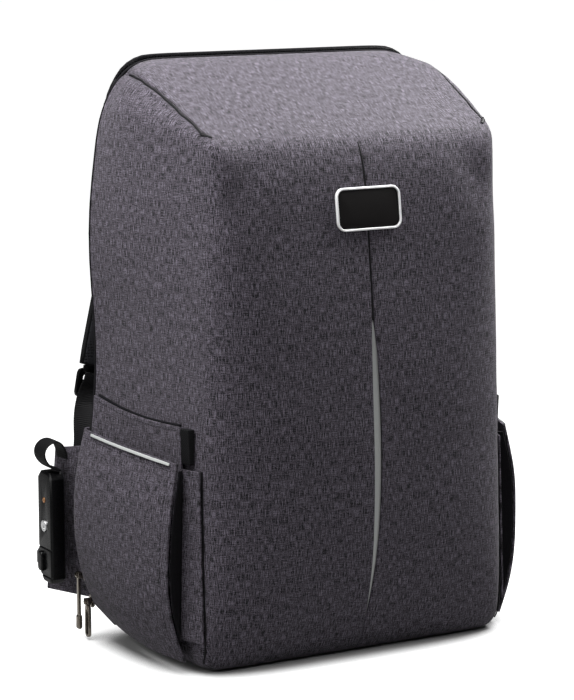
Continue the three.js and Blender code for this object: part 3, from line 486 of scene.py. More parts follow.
def seen_line(skin, side, spots):
    """Line on a skin seen from the bag's left or right, through (depth, height) spots."""
    return [look_at(skin, Vector((side * FAR, y, z)), -X * side)[0] for y, z in spots]


def cord_mesh(lines, radius, sides=10, closed=False):
    """Round cords along lines of points, as a bmesh."""
    curve = bpy.data.curves.new("line", "CURVE")
    curve.dimensions = "3D"
    curve.bevel_depth = radius
    curve.bevel_resolution = max(0, sides // 2 - 2)
    curve.use_fill_caps = not closed
    for points in lines:
        spline = curve.splines.new("POLY")
        spline.points.add(len(points) - 1)
        for target, spot in zip(spline.points, points):
            target.co = (*spot, 1)
        spline.use_cyclic_u = closed
    holder = bpy.data.objects.new("line", curve)
    mesh = bpy.data.meshes.new_from_object(holder)
    bm = bmesh.new()
    bm.from_mesh(mesh)
    bpy.data.objects.remove(holder)
    bpy.data.curves.remove(curve)
    bpy.data.meshes.remove(mesh)
    return bm


# Body cloth

BACK = 75.6 * MM  # depth of the slices' back end, on the rim of the body
HINGE = 400 * MM  # height of the line that the upper slices fan out from
BROW_DEPTH = -57 * MM
BROW_RISE = 9.6 * MM  # brow and top of the rim, over the hinge line
RIM_RISE = 64.8 * MM
FOOT_HEIGHTS = (0.8, 2, 4.5, 8.5, 14)  # millimetres: the lowest slices, round the foot
SLICE_START, SLICE_PITCH, SLICES = 20, 7.6, 50
TOP_STEPS = 34
FOOT_EDGE = 1.2 * MM  # the open foot of the cloth lies under this height
FAR = 0.5  # where a straight look starts, well outside the bag
CORNER_REACH = 30 * MM  # distance of the corner line from the point that its looks aim at
CORNER_ANGLES = (12, 24, 33, 38, 41.5, 43.8, 45, 46.2, 48.5, 52, 57, 67, 79)
CORNER_EASE = 150 * MM  # height over which the corner line goes from its top to its foot
DART_COLUMN = 6
DART_SINK = (1, 0.55, 0.0, -0.12)  # share of the dart's depth at its line and beside it
SIDE_SHARES = (0, 0.012, 0.045, 0.11, 0.2, 0.32, 0.45, 0.6, 0.74, 0.87, 1)
FRONT_STEPS = 15
MIDDLE_OFFSETS = (12, 8.5, 5.5, 3.2, 1.6, 0.6, 0)  # millimetres from the middle seam
MIDDLE_SINK = (0, 0, 0, -0.08, -0.1, 0.4, 1)  # share of the seam's depth there
FLAT_MIDDLE = 7 * MM  # half width of the strip beside the seam that lies flat
SEAM_FADE = 8 * MM
SEAM_LIMIT = BROW_DEPTH + 4 * MM  # the middle seam lies in front of this depth
SLIT_SKEW = 0.7  # under 1, the slit is widest above its middle
SLIT_OPEN = 1.2 * MM  # half opening from which the slit's edges are fully turned in
BOW_REACH = 30 * MM  # how far beside the slit the cloth is pulled aside with it
SHOULDER_RADIUS = 34 * MM
LEAN_ROUNDS = 40
LIPS = ((0.3, 2.9), (1.4, 5.6))  # turned-in edge of the slit: millimetres aside and inwards

# Dart line: angle of the fan in degrees, place sideways and reach forwards in millimetres
DART_LINE = (
    (0.0, -124.5, 135),
    (4.1, -125, 132.9),
    (7.8, -127.7, 120.6),
    (17.8, -130.6, 96),
    (28.4, -132, 81.1),
    (37.9, -133.2, 72.4),
    (48.5, -135.8, 66.1),
    (65.1, -135.4, 59),
    (90.0, -131.8, 55.2),
)
CORNER_FOOT = (-131, 138)  # the same for the upright corner near the floor
DART_FROM = 6.6  # fan angles where the dart begins and where it runs into the rim
DART_TO = 88
DART_FADES = (1.2, 8)  # degrees over which it fades at both ends

# Dents in the cloth: bumps to the metre, and the pull that each dart gives the front under it
DENT_GRAINS = (13, 29)
PULL_SPOT = (104 * MM, -68 * MM, 378 * MM)
PULL_DEPTH = 3.4 * MM
PULL_WIDE, PULL_TALL, PULL_LEAN = 16 * MM, 26 * MM, 0.4

# Where the cloth is held: near the rim, the floor, the badge and the middle seam
RIM_HOLD, FLOOR_HOLD = 25 * MM, 30 * MM
BADGE_HEIGHT, BADGE_HOLD = 356 * MM, (50 * MM, 40 * MM)
SEAM_HOLD, SEAM_EASE = 6 * MM, 20 * MM


def body_slices():
    """Fan angle, origin and forward direction of each slice, from the floor to the rim."""
    heights = [*FOOT_HEIGHTS, *(SLICE_START + SLICE_PITCH * k for k in range(SLICES))]
    rows = [(0, Vector((0, BACK, z * MM)), -Y) for z in heights] + [(0, Vector((0, BACK, HINGE)), -Y)]
    rises = [(BACK - BROW_DEPTH, BROW_RISE * share) for share in (0.25, 0.5, 0.75)]
    for k in range(TOP_STEPS + 1):
        t = k / TOP_STEPS
        rises.append(((BACK - BROW_DEPTH) * (1 - t), lerp(BROW_RISE, RIM_RISE, t)))
    for forward, up in rises:
        angle = math.atan2(up, forward)
        ahead = Vector((0, -math.cos(angle), math.sin(angle)))
        rows.append((math.degrees(angle), Vector((0, BACK, HINGE)), ahead))
    return rows


def slit_wave(z, skew=1.0):
    """Share of the slit's most at one height: none at both ends and all between them."""
    share = (sizes().slit_top - z) / (sizes().slit_top - sizes().slit_foot)
    return math.sin(math.pi * share ** skew) if 0 < share < 1 else 0.0


def slit_half(z):
    """Half the opening of the slit at one height."""
    return sizes().slit_width / 2 * slit_wave(z, SLIT_SKEW)


def slit_bow(z):
    """How far the slit is pulled aside at one height."""
    return sizes().slit_bow * slit_wave(z)


def seam_depth(z):
    """Depth of the middle seam at one height: it fades out under the brow."""
    return sizes().seam_depth * smoothstep((sizes().seam_top - z) / SEAM_FADE)


def dart_sink(angle, column):
    """How far the cloth is drawn in beside the dart line."""
    away = abs(column - DART_COLUMN)
    if away >= len(DART_SINK):
        return 0.0
    begun = smoothstep((angle - DART_FROM) / DART_FADES[0])
    fade = begun * smoothstep((DART_TO - angle) / DART_FADES[1])
    return sizes().dart_depth * DART_SINK[away] * fade


def corner_aim(angle, origin, ahead):
    """Point inside one slice that the looks round its left corner aim at."""
    side, reach = blend_rows(DART_LINE, angle)
    if angle == 0:
        low = smoothstep((HINGE - origin.z) / CORNER_EASE)
        side, reach = lerp(side, CORNER_FOOT[0], low), lerp(reach, CORNER_FOOT[1], low)
    step = CORNER_REACH * math.sqrt(0.5)
    return origin + X * (side * MM + step) + ahead * (reach * MM - step)


def slice_points(skin, angle, origin, ahead):
    """Spots along the left half of one slice, from the back rim to the middle of the front."""
    aim = corner_aim(angle, origin, ahead)
    points = []
    for share in SIDE_SHARES:
        eye = origin + (aim - origin).dot(ahead) * share * ahead - X * FAR
        points.append(look_at(skin, eye, X)[0])
    for column, degrees in enumerate(CORNER_ANGLES):
        turn = math.radians(degrees)
        out = -X * math.cos(turn) + ahead * math.sin(turn)
        spot = look_at(skin, aim + out * FAR, -out)[0]
        points.append(spot - out * dart_sink(angle, column))
    for k in range(FRONT_STEPS):
        x = lerp(aim.x, -MIDDLE_OFFSETS[0] * MM, k / FRONT_STEPS)
        points.append(look_at(skin, origin + X * x + ahead * FAR, -ahead)[0])
    half = slit_half(origin.z) if angle == 0 else 0
    flat = look_at(skin, origin - X * (FLAT_MIDDLE + half) + ahead * FAR, -ahead)[0]
    sink = seam_depth(flat.z) if flat.y < SEAM_LIMIT else 0
    for offset, share in zip(MIDDLE_OFFSETS, MIDDLE_SINK):
        x = -(half + offset * MM)
        spot = flat.copy()
        if offset * MM > FLAT_MIDDLE:
            spot = look_at(skin, origin + X * x + ahead * FAR, -ahead)[0]
        spot.x = x
        points.append(spot - ahead * (sink * share))
    for aside, inward in LIPS:
        open_share = smoothstep(half / SLIT_OPEN)
        turned = Vector((-(half + aside * MM), flat.y + inward * MM, flat.z))
        points.append(points[-1].lerp(turned, open_share) if half > 0 else points[-1].copy())
    return points


def soft_dents(spot):
    """How far the cloth stands out or in: slow noise, and a pull under each dart."""
    broad, fine = DENT_GRAINS
    slow = noise.noise(spot * broad) + 0.5 * noise.noise(spot * fine + Vector((7, 1, 3)))
    out = sizes().dent_depth * slow
    for _, side in SIDES:
        x, _, z = spot - Vector(PULL_SPOT) * Vector((side, 1, 1))
        out -= PULL_DEPTH * math.exp(-((x + side * PULL_LEAN * z) / PULL_WIDE) ** 2 - (z / PULL_TALL) ** 2)
    return out


def held_share(spot):
    """Share of the dents that is left near the rim, the floor, the badge and the middle seam."""
    rim = smoothstep((BACK - spot.y) / RIM_HOLD) * smoothstep(spot.z / FLOOR_HOLD)
    badge = math.hypot(spot.x / BADGE_HOLD[0], (spot.z - BADGE_HEIGHT) / BADGE_HOLD[1])
    return rim * smoothstep(badge - 0.9) * smoothstep((abs(spot.x) - SEAM_HOLD) / SEAM_EASE)


def walked(points):
    """Distance walked along points, up to each of them."""
    so_far = [0.0]
    for start, end in zip(points, points[1:]):
        so_far.append(so_far[-1] + (end - start).length)
    return so_far


def weave_places(rows):
    """Weave map of the front: metres across and along for every grid spot."""
    last = len(rows[0]) - 1 - len(LIPS)
    climb = walked([row[last] for row in rows])
    front = []
    for j, row in enumerate(rows):
        steps = walked(row)
        middle = steps[last] + abs(row[last].x)
        front.append([(step - middle, climb[j]) for step in steps])
    return front


def soft_leans(bm):
    """How far the cloth leans back from upright at each vertex, evened out over its neighbours."""
    leans = {v: max(0.0, math.atan2(v.normal.z, abs(v.normal.x))) for v in bm.verts}
    for _ in range(LEAN_ROUNDS):
        leans = {v: sum(leans[e.other_vert(v)] for e in v.link_edges) / len(v.link_edges) for v in bm.verts}
    return leans


def side_weave(vert, lean):
    """Weave place on the bag's side: its depth, and its height measured round the shoulder."""
    return vert.co.y, vert.co.z + SHOULDER_RADIUS * (lean - math.sin(lean))


class BACKPACK_OT_body_cloth(bpy.types.Operator):
    """Body cloth: one wrapped sheet with darts, middle seam and slit"""

    bl_idname = "backpack.body_cloth"
    bl_label = "Body Cloth"

    def execute(self, context):
        skin = skin_of("front_shell")
        rows = [slice_points(skin, *row) for row in body_slices()]
        columns = len(rows[0])
        dart = len(SIDE_SHARES) + DART_COLUMN
        bm = bmesh.new()
        bmesh.ops.create_grid(bm, x_segments=columns - 1, y_segments=len(rows) - 1, size=1)
        column = bm.verts.layers.int.new("column")
        row = bm.verts.layers.int.new("row")
        for vert in bm.verts:
            vert[column] = round((vert.co.x + 1) / 2 * (columns - 1))
            vert[row] = round((vert.co.y + 1) / 2 * (len(rows) - 1))
            vert.co = rows[vert[row]][vert[column]]
        whole = bm.verts[:] + bm.edges[:] + bm.faces[:]
        bmesh.ops.mirror(bm, geom=whole, axis="X", merge_dist=JOIN)
        bmesh.ops.remove_doubles(bm, verts=bm.verts, dist=JOIN / 2)
        bmesh.ops.dissolve_degenerate(bm, edges=bm.edges, dist=JOIN / 4)
        bmesh.ops.recalc_face_normals(bm, faces=bm.faces)
        highest = max(bm.faces, key=lambda face: face.calc_center_median().z)
        if highest.normal.z < 0:
            bmesh.ops.reverse_faces(bm, faces=bm.faces)
        bm.normal_update()
        moves = [vert.normal * (soft_dents(vert.co) * held_share(vert.co)) for vert in bm.verts]
        for vert, move in zip(bm.verts, moves):
            vert.co += move
            if vert.co.y < BROW_DEPTH:
                vert.co.x += slit_bow(vert.co.z) * smoothstep(1 - abs(vert.co.x) / BOW_REACH)
        bm.normal_update()
        front, leans = weave_places(rows), soft_leans(bm)
        weave = bm.loops.layers.uv.new("weave")
        for face in bm.faces:
            on_side = max(vert[column] for vert in face.verts) <= dart
            mirror = -1 if face.calc_center_median().x > 0 else 1
            for loop in face.loops:
                across, along = front[loop.vert[row]][loop.vert[column]]
                beside = side_weave(loop.vert, leans[loop.vert])
                loop[weave].uv = beside if on_side else (mirror * across, along)
        foot = {v for e in bm.edges if e.is_boundary for v in e.verts if v.co.z < FOOT_EDGE}
        bmesh.ops.contextual_create(bm, geom=list(foot))
        piece = piece_of("body_cloth", bm, "charcoal_cloth", ["front_shell"])
        subdivide(piece, 1)
        thicken(piece, sizes().wall)
        return {"FINISHED"}


STRIP_THICK = 0.6 * MM


class BACKPACK_OT_slit_strip(bpy.types.Operator):
    """Light tape that shows through the slit"""

    bl_idname = "backpack.slit_strip"
    bl_label = "Slit Strip"

    def execute(self, context):
        skin = skin_of("front_shell")
        low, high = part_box("reflective_strip")

        def place(across, up):
            z = lerp(low.z, high.z, up)
            seen = Vector((-FLAT_MIDDLE - slit_half(z), -FAR, z))
            y = look_at(skin, seen, Y)[0].y + sizes().strip_depth
            return Vector((lerp(low.x, high.x, across) + slit_bow(z), y, z))

        piece = piece_of("slit_strip", cloth_grid(4, 40, place), "light_tape", ["reflective_strip"])
        thicken(piece, STRIP_THICK)
        return {"FINISHED"}


TACK_BEADS = 8
TACK_RADII = (1.5 * MM, 1.5 * MM, 0.8 * MM)
TACK_START = Vector((127.7, -43.8, 416.4)) * MM
TACK_END = Vector((122.4, -49.8, 414.4)) * MM

DART_SHADE_CORD, MIDDLE_CORD, CORNER_CORD = 0.9 * MM, 0.75 * MM, 0.6 * MM  # radii of the seams; the dart cord is seam thread and also painted shade for the fold of each dart
DART_SHADE_CORD_DEPTH, MIDDLE_CORD_DEPTH = 1.1 * MM, 0.5 * MM
SEAM_STEPS = 48

# Seam beside each side pocket: height and depth in millimetres, and its place sideways
CORNER_SEAM = ((6, -61), (16, -64), (30.6, -64.4), (61.6, -62.6), (107.8, -60.2), (160, -57.8))
CORNER_ASIDE = 139
CORNER_STEPS = 40


class BACKPACK_OT_body_seams(bpy.types.Operator):
    """Corded seams in the darts, down the middle and beside the pockets, and bar tacks; the dart cords are
    also painted shade in the dart folds
    """

    bl_idname = "backpack.body_seams"
    bl_label = "Body Seams"

    def execute(self, context):
        skin = skin_of("front_shell")
        bm = bmesh.new()
        darts, corners = [], []
        for _, side in SIDES:
            mirror = Vector((-side, 1, 1))
            for k in range(TACK_BEADS):
                start = TACK_START.lerp(TACK_END, k / (TACK_BEADS - 1)) * Vector((side, 1, 1))
                spot, normal, _, _ = skin.find_nearest(start)
                turn = normal.to_track_quat("Z", "X").to_matrix().to_4x4()
                shape = Matrix.Diagonal((*TACK_RADII, 1))
                place = Matrix.Translation(spot - normal * 0.1 * MM) @ turn @ shape
                bmesh.ops.create_icosphere(bm, subdivisions=2, radius=1, matrix=place)
            line = []
            for angle, origin, ahead in body_slices():
                if DART_FROM + 0.6 < angle < DART_TO - 2:
                    out = (ahead - X).normalized()
                    spot, _ = look_at(skin, corner_aim(angle, origin, ahead) + out * FAR, -out)
                    # the black cord in the dart groove is seam thread and also painted shade for the fold
                    line.append((spot - out * DART_SHADE_CORD_DEPTH) * mirror)
            darts.append(line)
            line = []
            for k in range(CORNER_STEPS):
                z = lerp(CORNER_SEAM[0][0], CORNER_SEAM[-1][0], k / (CORNER_STEPS - 1))
                y = blend_rows(CORNER_SEAM, z)[0]
                spot, normal, _, _ = skin.find_nearest(Vector((side * CORNER_ASIDE, y, z)) * MM)
                line.append(spot + normal * 0.1 * MM)
            corners.append(line)
        middle = []
        for k in range(SEAM_STEPS):
            z = lerp(sizes().seam_top, sizes().slit_top - 2 * MM, k / (SEAM_STEPS - 1))
            spot, _ = look_at(skin, Vector((-FLAT_MIDDLE, -FAR, z)), Y)
            middle.append(Vector((0, spot.y + MIDDLE_CORD_DEPTH, z)))
        piece_of("dart_tacks", bm, "thread")
        seams = (
            ("middle_seam", [middle], MIDDLE_CORD),
            ("dart_seam_shade_cords", darts, DART_SHADE_CORD),
            ("corner_seams", corners, CORNER_CORD),
        )
        for name, lines, radius in seams:
            piece_of(name, cord_mesh(lines, radius, 8), "thread")
        return {"FINISHED"}


# Back edge: gusset, zip and piping

RING_MIDDLE = Vector((0, 0, 0.23))
RING_STEPS = 720
PIPING_STEPS = 240
TOOTH = (1.2 * MM, 3 * MM, 1.2 * MM)  # along the zip, across it and up
TOOTH_SHIFT, TOOTH_LIFT = 0.5 * MM, 0.4 * MM


def ring_points(skin, depth, count):
    """Spots and normals round the bag at one depth, seen from outside towards the middle."""
    found = []
    for k in range(count):
        turn = 2 * math.pi * k / count
        out = Vector((math.sin(turn), 0, -math.cos(turn)))
        found.append(look_at(skin, RING_MIDDLE + Y * depth + out * FAR, -out))
    return found


class BACKPACK_OT_zip_band(bpy.types.Operator):
    """Black zip gusset round the back edge, with its coil and piping"""

    bl_idname = "backpack.zip_band"
    bl_label = "Zip Band"

    def execute(self, context):
        skin = skin_of("zip_gusset", 1)
        soft_piece("gusset_cloth", "zip_gusset", "black_cloth", 0.6, levels=1)
        low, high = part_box("zip_chain")
        path = [spot for spot, _ in ring_points(skin, (low.y + high.y) / 2, RING_STEPS)]
        path.append(path[0])
        bm = bmesh.new()
        for k, (spot, run) in enumerate(even_steps(path, sizes().tooth_pitch)):
            _, out, _, _ = skin.find_nearest(spot)
            aside = out.cross(run).normalized()
            turn = Matrix((run, aside, run.cross(aside))).transposed().to_4x4()
            shape = Matrix.Diagonal((*TOOTH, 1))
            shift = aside * (TOOTH_SHIFT if k % 2 else -TOOTH_SHIFT)
            place = Matrix.Translation(spot + out * TOOTH_LIFT + shift) @ turn @ shape
            bmesh.ops.create_cube(bm, size=1, matrix=place)
        piece_of("zip_coil", bm, "black_plastic", ["zip_chain"], sharp=30)
        low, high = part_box("zip_gusset")
        cords = (
            ("piping_front", low.y - 0.1 * MM, low.y + 0.3 * MM, 1.3 * MM, 0.3),
            ("piping_back", high.y + 0.1 * MM, high.y - 0.3 * MM, sizes().piping, 0.2),
        )
        for name, depth, seen, radius, sunk in cords:
            ring = ring_points(skin, seen, PIPING_STEPS)
            points = [Vector((p.x, depth, p.z)) - n * radius * sunk for p, n in ring]
            piece_of(name, cord_mesh([points], radius, closed=True), "black_cloth")
        return {"FINISHED"}


# Back pad

CHANNEL_COLUMN = 0.0  # x of the upright channel, and heights of the level ones
CHANNEL_ROWS = (0.15, 0.3)
CHANNEL_HALF = 3 * MM
PAD_FACE = 84 * MM  # depth behind which the pad swells


def in_channel(spot):
    near = min(abs(spot.x - CHANNEL_COLUMN), *(abs(spot.z - row) for row in CHANNEL_ROWS))
    return spot.y > PAD_FACE and near < CHANNEL_HALF


def settle(piece):
    """Makes what the modifiers give the piece's own mesh."""
    graph = bpy.context.evaluated_depsgraph_get()
    made = bpy.data.meshes.new_from_object(piece.evaluated_get(graph))
    piece.modifiers.clear()
    piece.data = made


def swell(piece, pressure, frames, cap, held):
    """Swells a padded piece by a short cloth simulation, with its held places pinned."""
    start = [vert.co.copy() for vert in piece.data.vertices]
    pins = piece.vertex_groups.new(name="sewn")
    pins.add([k for k, spot in enumerate(start) if held(spot)], 1.0, "REPLACE")
    cloth = piece.modifiers.new("Swell", "CLOTH")
    cloth.settings.vertex_group_mass = "sewn"
    cloth.settings.use_pressure = True
    cloth.settings.uniform_pressure_force = pressure
    cloth.settings.effector_weights.gravity = 0
    cloth.point_cache.frame_start, cloth.point_cache.frame_end = 1, frames
    for number in range(1, frames + 1):
        bpy.context.scene.frame_set(number)
    settle(piece)
    bpy.context.scene.frame_set(1)
    for vert, spot in zip(piece.data.vertices, start):
        move = vert.co - spot
        vert.co = spot + move * min(1, cap / max(move.length, 1e-9))


class BACKPACK_OT_back_pad(bpy.types.Operator):
    """Padded mesh back, swollen between its sewn channels"""

    bl_idname = "backpack.back_pad"
    bl_label = "Back Pad"

    def execute(self, context):
        piece = soft_piece("back_pad", "back_panel", "black_mesh", 0.5, levels=0)
        remesh = piece.modifiers.new("Even", "REMESH")
        remesh.mode = "VOXEL"
        remesh.voxel_size = sizes().voxel
        remesh.use_smooth_shade = True
        settle(piece)
        for vert in piece.data.vertices:
            if in_channel(vert.co):
                vert.co.y -= sizes().channel
        drawn = Y * sizes().channel
        swell(
            piece, pressure=4, frames=20, cap=sizes().swell,
            held=lambda spot: spot.y < PAD_FACE or in_channel(spot + drawn),
        )
        subdivide(piece, 1)
        return {"FINISHED"}


# Pockets

SHADED_FOLD_DEPTH = -49 * MM  # depth of the bellows behind which black cloth is put as painted shade for the fold
SHADED_FOLD_FACING = 0.35  # least share of a face's normal along the bag's depth there

# Rows of stitches on a pocket: depth and height in millimetres of both ends, and the sag between them
HEM_ROW = ((66, 168.5), (-42, 159.3), 0)
EDGE_ROW = ((-40.5, 156), (-40.5, 24), 0)
MOUTH_ROW = ((67, 197.5), (-36, 189.3), 4)
# radius of the black cord that is painted shade in the gap above the pocket mouth
GAP_SHADE_RADIUS = 1.2 * MM
GAP_SHADE_OFFSET = (2.4 * MM, 3.8 * MM)  # black cord in the gap above the pocket mouth, painted shade for that gap, inwards and up from the stitches

# Row of stitches round a wing
WING_ROW = ((90, 151), (116, 146.5), (125, 38), (90, 38))


def sewn_row(start, end, sag=0, steps=30):
    """Places (depth, height) along a row of stitches."""
    places = []
    for k in range(steps + 1):
        t = k / steps
        places.append((lerp(start[0], end[0], t), lerp(start[1], end[1], t) - sag * math.sin(math.pi * t)))
    return [(y * MM, z * MM) for y, z in places]


def paint_fold_shade_black(piece):
    """Gives the return half of a bellows, which faces forwards, black cloth as painted shade for the deep
    fold.
    """
    piece.data.materials.append(look("black_cloth"))
    for face in piece.data.polygons:
        # the black faces are painted shade in the fold of the bellows
        face.material_index = 1 if abs(face.normal.y) > SHADED_FOLD_FACING and face.center.y > SHADED_FOLD_DEPTH else 0


class BACKPACK_OT_pockets(bpy.types.Operator):
    """Side pockets: outer panel with its piping, inner panel, bellows and binding"""

    bl_idname = "backpack.pockets"
    bl_label = "Pockets"

    def execute(self, context):
        for label, side in SIDES:
            parts = (
                ("pocket_outer", "charcoal_cloth", 0.5, None),
                ("pocket_inner", "charcoal_cloth", 0.5, None),
                ("pocket_gusset", "charcoal_cloth", 0.4, None),
                ("pocket_binding", "black_webbing", 0.6, "black_cloth"),
                ("pocket_piping", "light_tape", 0.3, None),
            )
            for part, finish, rounding, slot in parts:
                name = f"{part}_cloth_{label}"
                piece = soft_piece(name, f"{part}_{label}", finish, rounding, (Y * side, Z))
                if part == "pocket_gusset":
                    # the bellows' return half is made black as painted shade for its fold
                    paint_fold_shade_black(piece)
            outer, inner = skin_of(f"pocket_outer_{label}"), skin_of(f"pocket_inner_{label}")
            sewn = ((outer, HEM_ROW), (outer, EDGE_ROW), (inner, MOUTH_ROW))
            rows = [(skin, seen_line(skin, side, sewn_row(*row))) for skin, row in sewn]
            sew(f"pocket_stitches_{label}", rows)
            # a black cord along the gap between inner panel and body is painted shade for that gap
            inwards, up = GAP_SHADE_OFFSET
            gap_shade_line = [spot - X * side * inwards + Z * up for spot in rows[2][1]]
            piece_of(f"mouth_gap_shade_cord_{label}", cord_mesh([gap_shade_line], GAP_SHADE_RADIUS, 8), "black_cloth")
        return {"FINISHED"}


class BACKPACK_OT_wings(bpy.types.Operator):
    """Wings at the foot of the back that anchor the straps"""

    bl_idname = "backpack.wings"
    bl_label = "Wings"

    def execute(self, context):
        for label, side in SIDES:
            node_name = f"anchor_wing_{label}"
            piece = soft_piece(f"wing_cloth_{label}", node_name, "charcoal_cloth", 0.6, (Y * side, Z))
            skin = skin_of(node_name)
            row = sewn_row(*WING_ROW[:2], steps=12)
            for start, end in zip(WING_ROW[1:], WING_ROW[2:]):
                row += sewn_row(start, end, steps=12)[1:]
            sew(f"wing_stitches_{label}", [(skin, seen_line(skin, side, row))])
        return {"FINISHED"}


BINDING_STEPS = 24
STITCH_INSET = 6 * MM  # stitches from the edge of a strap pad
TAB_WIDE, TAB_THICK = 24 * MM, 2.4 * MM  # webbing that holds the ladder lock under the strap pad
TAB_OVER = (5 * MM, 10 * MM)  # how far it reaches over the lock and over the pad


def strap_edges(node_name, count):
    """Lines along both edges of an upright strap, found by cutting it level."""
    low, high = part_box(node_name)
    lines = ([], [])
    for k in range(count):
        z = lerp(high.z - 6 * MM, low.z + 4 * MM, k / (count - 1))
        bm = merged_copy(node_name)
        whole = bm.verts[:] + bm.edges[:] + bm.faces[:]
        cut = bmesh.ops.bisect_plane(bm, geom=whole, plane_co=Z * z, plane_no=Z)["geom_cut"]
        spots = sorted((g.co.copy() for g in cut if isinstance(g, bmesh.types.BMVert)), key=lambda s: s.x)
        lines[0].append((spots[0] + spots[1]) / 2)
        lines[1].append((spots[-1] + spots[-2]) / 2)
        bm.free()
    return lines


def lock_tab(label, pad_depth):
    """Short webbing from the foot of a strap pad to the top bar of its ladder lock."""
    foot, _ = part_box(f"strap_pad_{label}")
    low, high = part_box(f"ladder_lock_{label}")
    middle = (low + high) / 2

    def place(across, up):
        x = middle.x + lerp(-TAB_WIDE / 2, TAB_WIDE / 2, across)
        z = lerp(high.z - TAB_OVER[0], foot.z + TAB_OVER[1], up)
        return Vector((x, lerp(middle.y, pad_depth, up), z))

    bm = cloth_grid(4, 6, place)
    lay_weave(bm, lambda vert: (vert.co.x, vert.co.z))
    return bm


class BACKPACK_OT_straps(bpy.types.Operator):
    """Shoulder straps: mesh pads, webbing and ladder locks"""

    bl_idname = "backpack.straps"
    bl_label = "Straps"

    def execute(self, context):
        for label, _ in SIDES:
            pad = soft_piece(f"strap_mesh_{label}", f"strap_pad_{label}", "black_mesh", 0.6, (X, Z))
            edges = strap_edges(f"strap_pad_{label}", BINDING_STEPS)
            bm = cord_mesh(edges, sizes().binding)
            lay_weave(bm, lambda vert: (vert.co.x, vert.co.z))
            piece_of(f"strap_binding_{label}", bm, "black_webbing")
            skin = skin_of(f"strap_pad_{label}")
            rows = []
            for edge, inwards in zip(edges, (X, -X)):
                line = [look_at(skin, spot + inwards * STITCH_INSET + Y * FAR, -Y)[0] for spot in edge]
                rows.append((skin, line))
            sew(f"strap_stitches_{label}", rows)
            soft_piece(f"webbing_{label}", f"strap_webbing_{label}", "black_webbing", 0.3, (X + Y, Z))
            tab = lock_tab(label, (edges[0][-1].y + edges[1][-1].y) / 2)
            piece = piece_of(f"lock_tab_{label}", tab, "black_webbing")
            thicken(piece, TAB_THICK, 0)
            hard_piece(f"ladder_{label}", f"ladder_lock_{label}", "black_plastic", 0.7)
        soft_piece("grab_loop", "haul_loop", "black_webbing", 0.5, (Z, X))
        return {"FINISHED"}


class BACKPACK_OT_badge(bpy.types.Operator):
    """Bare badge: satin rim and dark face"""

    bl_idname = "backpack.badge"
    bl_label = "Badge"

    def execute(self, context):
        limits = {"degrees": 50, "sharp": 50}
        hard_piece("badge_frame", "badge_rim", "badge_rim", 0.5, "silver_metal", **limits)
        hard_piece("badge_face", "badge_plate", "badge_face", 0.4, "black_plastic", **limits)
        return {"FINISHED"}


class BACKPACK_OT_zip_pulls(bpy.types.Operator):
    """Zip sliders and their pulls"""

    bl_idname = "backpack.zip_pulls"
    bl_label = "Zip Pulls"

    def execute(self, context):
        for label in ("upper", "lower"):
            hard_piece(f"slider_{label}", f"zip_slider_{label}", "zinc", 0.35)
            hard_piece(f"pull_{label}", f"zip_pull_{label}", "zinc", 0.45, body=f"pull_{label}")
        return {"FINISHED"}


class BACKPACK_OT_lock(bpy.types.Operator):
    """Zip lock with its key cylinder, window, button and webbing loop"""

    bl_idname = "backpack.lock"
    bl_label = "Lock"

    def execute(self, context):
        hard_piece("lock_case", "lock_body", "black_plastic", 0.9)
        hard_piece("key_plug", "lock_cylinder", "silver_metal", 0.3, body="key_cylinder")
        hard_piece("lock_lens", "lock_window", "bronze", 0.3)
        hard_piece("lock_pad", "lock_button", "black_plastic", 0.6, body="release_button")
        soft_piece("lock_loop", "lock_webbing", "black_webbing", 0.4, (Y, X + Z))
        return {"FINISHED"}


# Stage

VIEW_AZIMUTH = -30
VIEW_PITCH = 10
VIEW_TARGET = Vector((-27.8, 0, 236.2)) * MM
VIEW_DISTANCE = 2182.3 * MM
LENS = 141.4
FLOOR_REACH = 40.0

# Soft boxes: name, place, size across and along, power in watts
SOFT_BOXES = (
    ("top_left_box", (-0.42, 0.02, 0.98), (0.5, 0.4), 13.5),
    ("top_right_box", (0.55, -0.02, 0.9), (0.5, 0.4), 18.5),
    ("left_box", (-1.5, -0.1, 0.9), (0.8, 1.0), 10),
    ("right_box", (1.2, -0.5, 0.8), (0.4, 0.9), 0.6),
    ("front_box", (-0.3, -1.0, 1.05), (0.6, 0.3), 4.6),
)
ROOM_LIGHT = 0.06
CONTACT_REACH = 36 * MM  # how far the shadow at the foot of the bag spreads


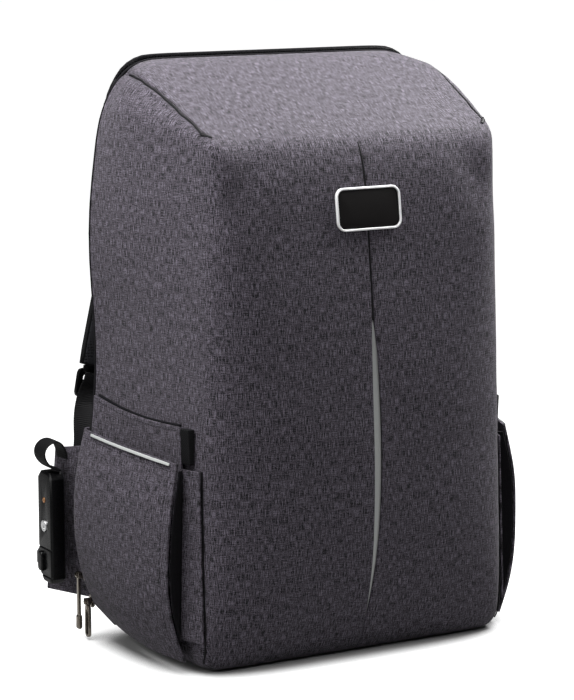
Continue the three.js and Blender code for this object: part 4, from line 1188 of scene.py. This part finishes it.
class BACKPACK_OT_stage(bpy.types.Operator):
    """Pale floor, soft studio light and the camera"""

    bl_idname = "backpack.stage"
    bl_label = "Stage"

    def execute(self, context):
        scene = context.scene
        scene.view_settings.view_transform = "Standard"
        bm = bmesh.new()
        bmesh.ops.create_grid(bm, x_segments=1, y_segments=1, size=FLOOR_REACH)
        mesh = bpy.data.meshes.new("floor")
        bm.to_mesh(mesh)
        bm.free()
        mesh.materials.append(look("paper"))
        floor = bpy.data.objects.new("floor", mesh)
        floor.location.z = -0.2 * MM
        scene.collection.objects.link(floor)
        world = bpy.data.worlds.new("studio")
        world.use_nodes = True
        tree = world.node_tree
        tree.nodes.clear()
        seen = node(tree, "ShaderNodeLightPath").outputs["Is Camera Ray"]
        strength = node(tree, "ShaderNodeMapRange", {"Value": seen, "To Min": ROOM_LIGHT, "To Max": 1.0})
        sky = node(tree, "ShaderNodeBackground", {"Color": (1, 1, 1, 1), "Strength": strength})
        node(tree, "ShaderNodeOutputWorld", {"Surface": sky.outputs["Background"]})
        scene.world = world
        for name, place, (wide, tall), power in SOFT_BOXES:
            light = bpy.data.lights.new(name, "AREA")
            light.shape = "RECTANGLE"
            light.size, light.size_y = wide, tall
            light.energy = power
            holder = bpy.data.objects.new(name, light)
            holder.location = place
            aim = Vector((0, 0, 0.25)) - holder.location
            holder.rotation_euler = aim.to_track_quat("-Z", "Y").to_euler()
            scene.collection.objects.link(holder)
        turn, pitch = math.radians(VIEW_AZIMUTH), math.radians(VIEW_PITCH)
        back = Vector((math.sin(turn) * math.cos(pitch), -math.cos(turn) * math.cos(pitch), math.sin(pitch)))
        camera = bpy.data.cameras.new("camera")
        camera.lens = LENS
        camera.sensor_width = 36
        holder = bpy.data.objects.new("camera", camera)
        holder.location = VIEW_TARGET + back * VIEW_DISTANCE
        holder.rotation_euler = (-back).to_track_quat("-Z", "Y").to_euler()
        scene.collection.objects.link(holder)
        scene.camera = holder
        return {"FINISHED"}


OPERATORS = (
    BACKPACK_OT_stage,
    BACKPACK_OT_body_cloth,
    BACKPACK_OT_slit_strip,
    BACKPACK_OT_body_seams,
    BACKPACK_OT_zip_band,
    BACKPACK_OT_back_pad,
    BACKPACK_OT_pockets,
    BACKPACK_OT_wings,
    BACKPACK_OT_straps,
    BACKPACK_OT_badge,
    BACKPACK_OT_zip_pulls,
    BACKPACK_OT_lock,
)


class BACKPACK_PT_pieces(bpy.types.Panel):
    """Lists the backpack's pieces, sizes and colours"""

    bl_idname = "BACKPACK_PT_pieces"
    bl_label = "Laptop Backpack"
    bl_space_type = "VIEW_3D"
    bl_region_type = "UI"
    bl_category = "Backpack"

    def draw(self, context):
        for operator in OPERATORS:
            self.layout.operator(operator.bl_idname)
        for group in (context.scene.backpack_sizes, context.scene.backpack_colours):
            for name in group.__annotations__:
                self.layout.prop(group, name)


CLASSES = (BackpackSizes, BackpackColours, *OPERATORS, BACKPACK_PT_pieces)


def register():
    for cls in CLASSES:
        bpy.utils.register_class(cls)
    bpy.types.Scene.backpack_sizes = PointerProperty(type=BackpackSizes)
    bpy.types.Scene.backpack_colours = PointerProperty(type=BackpackColours)


def unregister():
    del bpy.types.Scene.backpack_colours
    del bpy.types.Scene.backpack_sizes
    for cls in reversed(CLASSES):
        bpy.utils.unregister_class(cls)


def main():
    register()
    for operator in OPERATORS:
        group, name = operator.bl_idname.split(".")
        getattr(getattr(bpy.ops, group), name)()


if __name__ == "__main__":
    main()
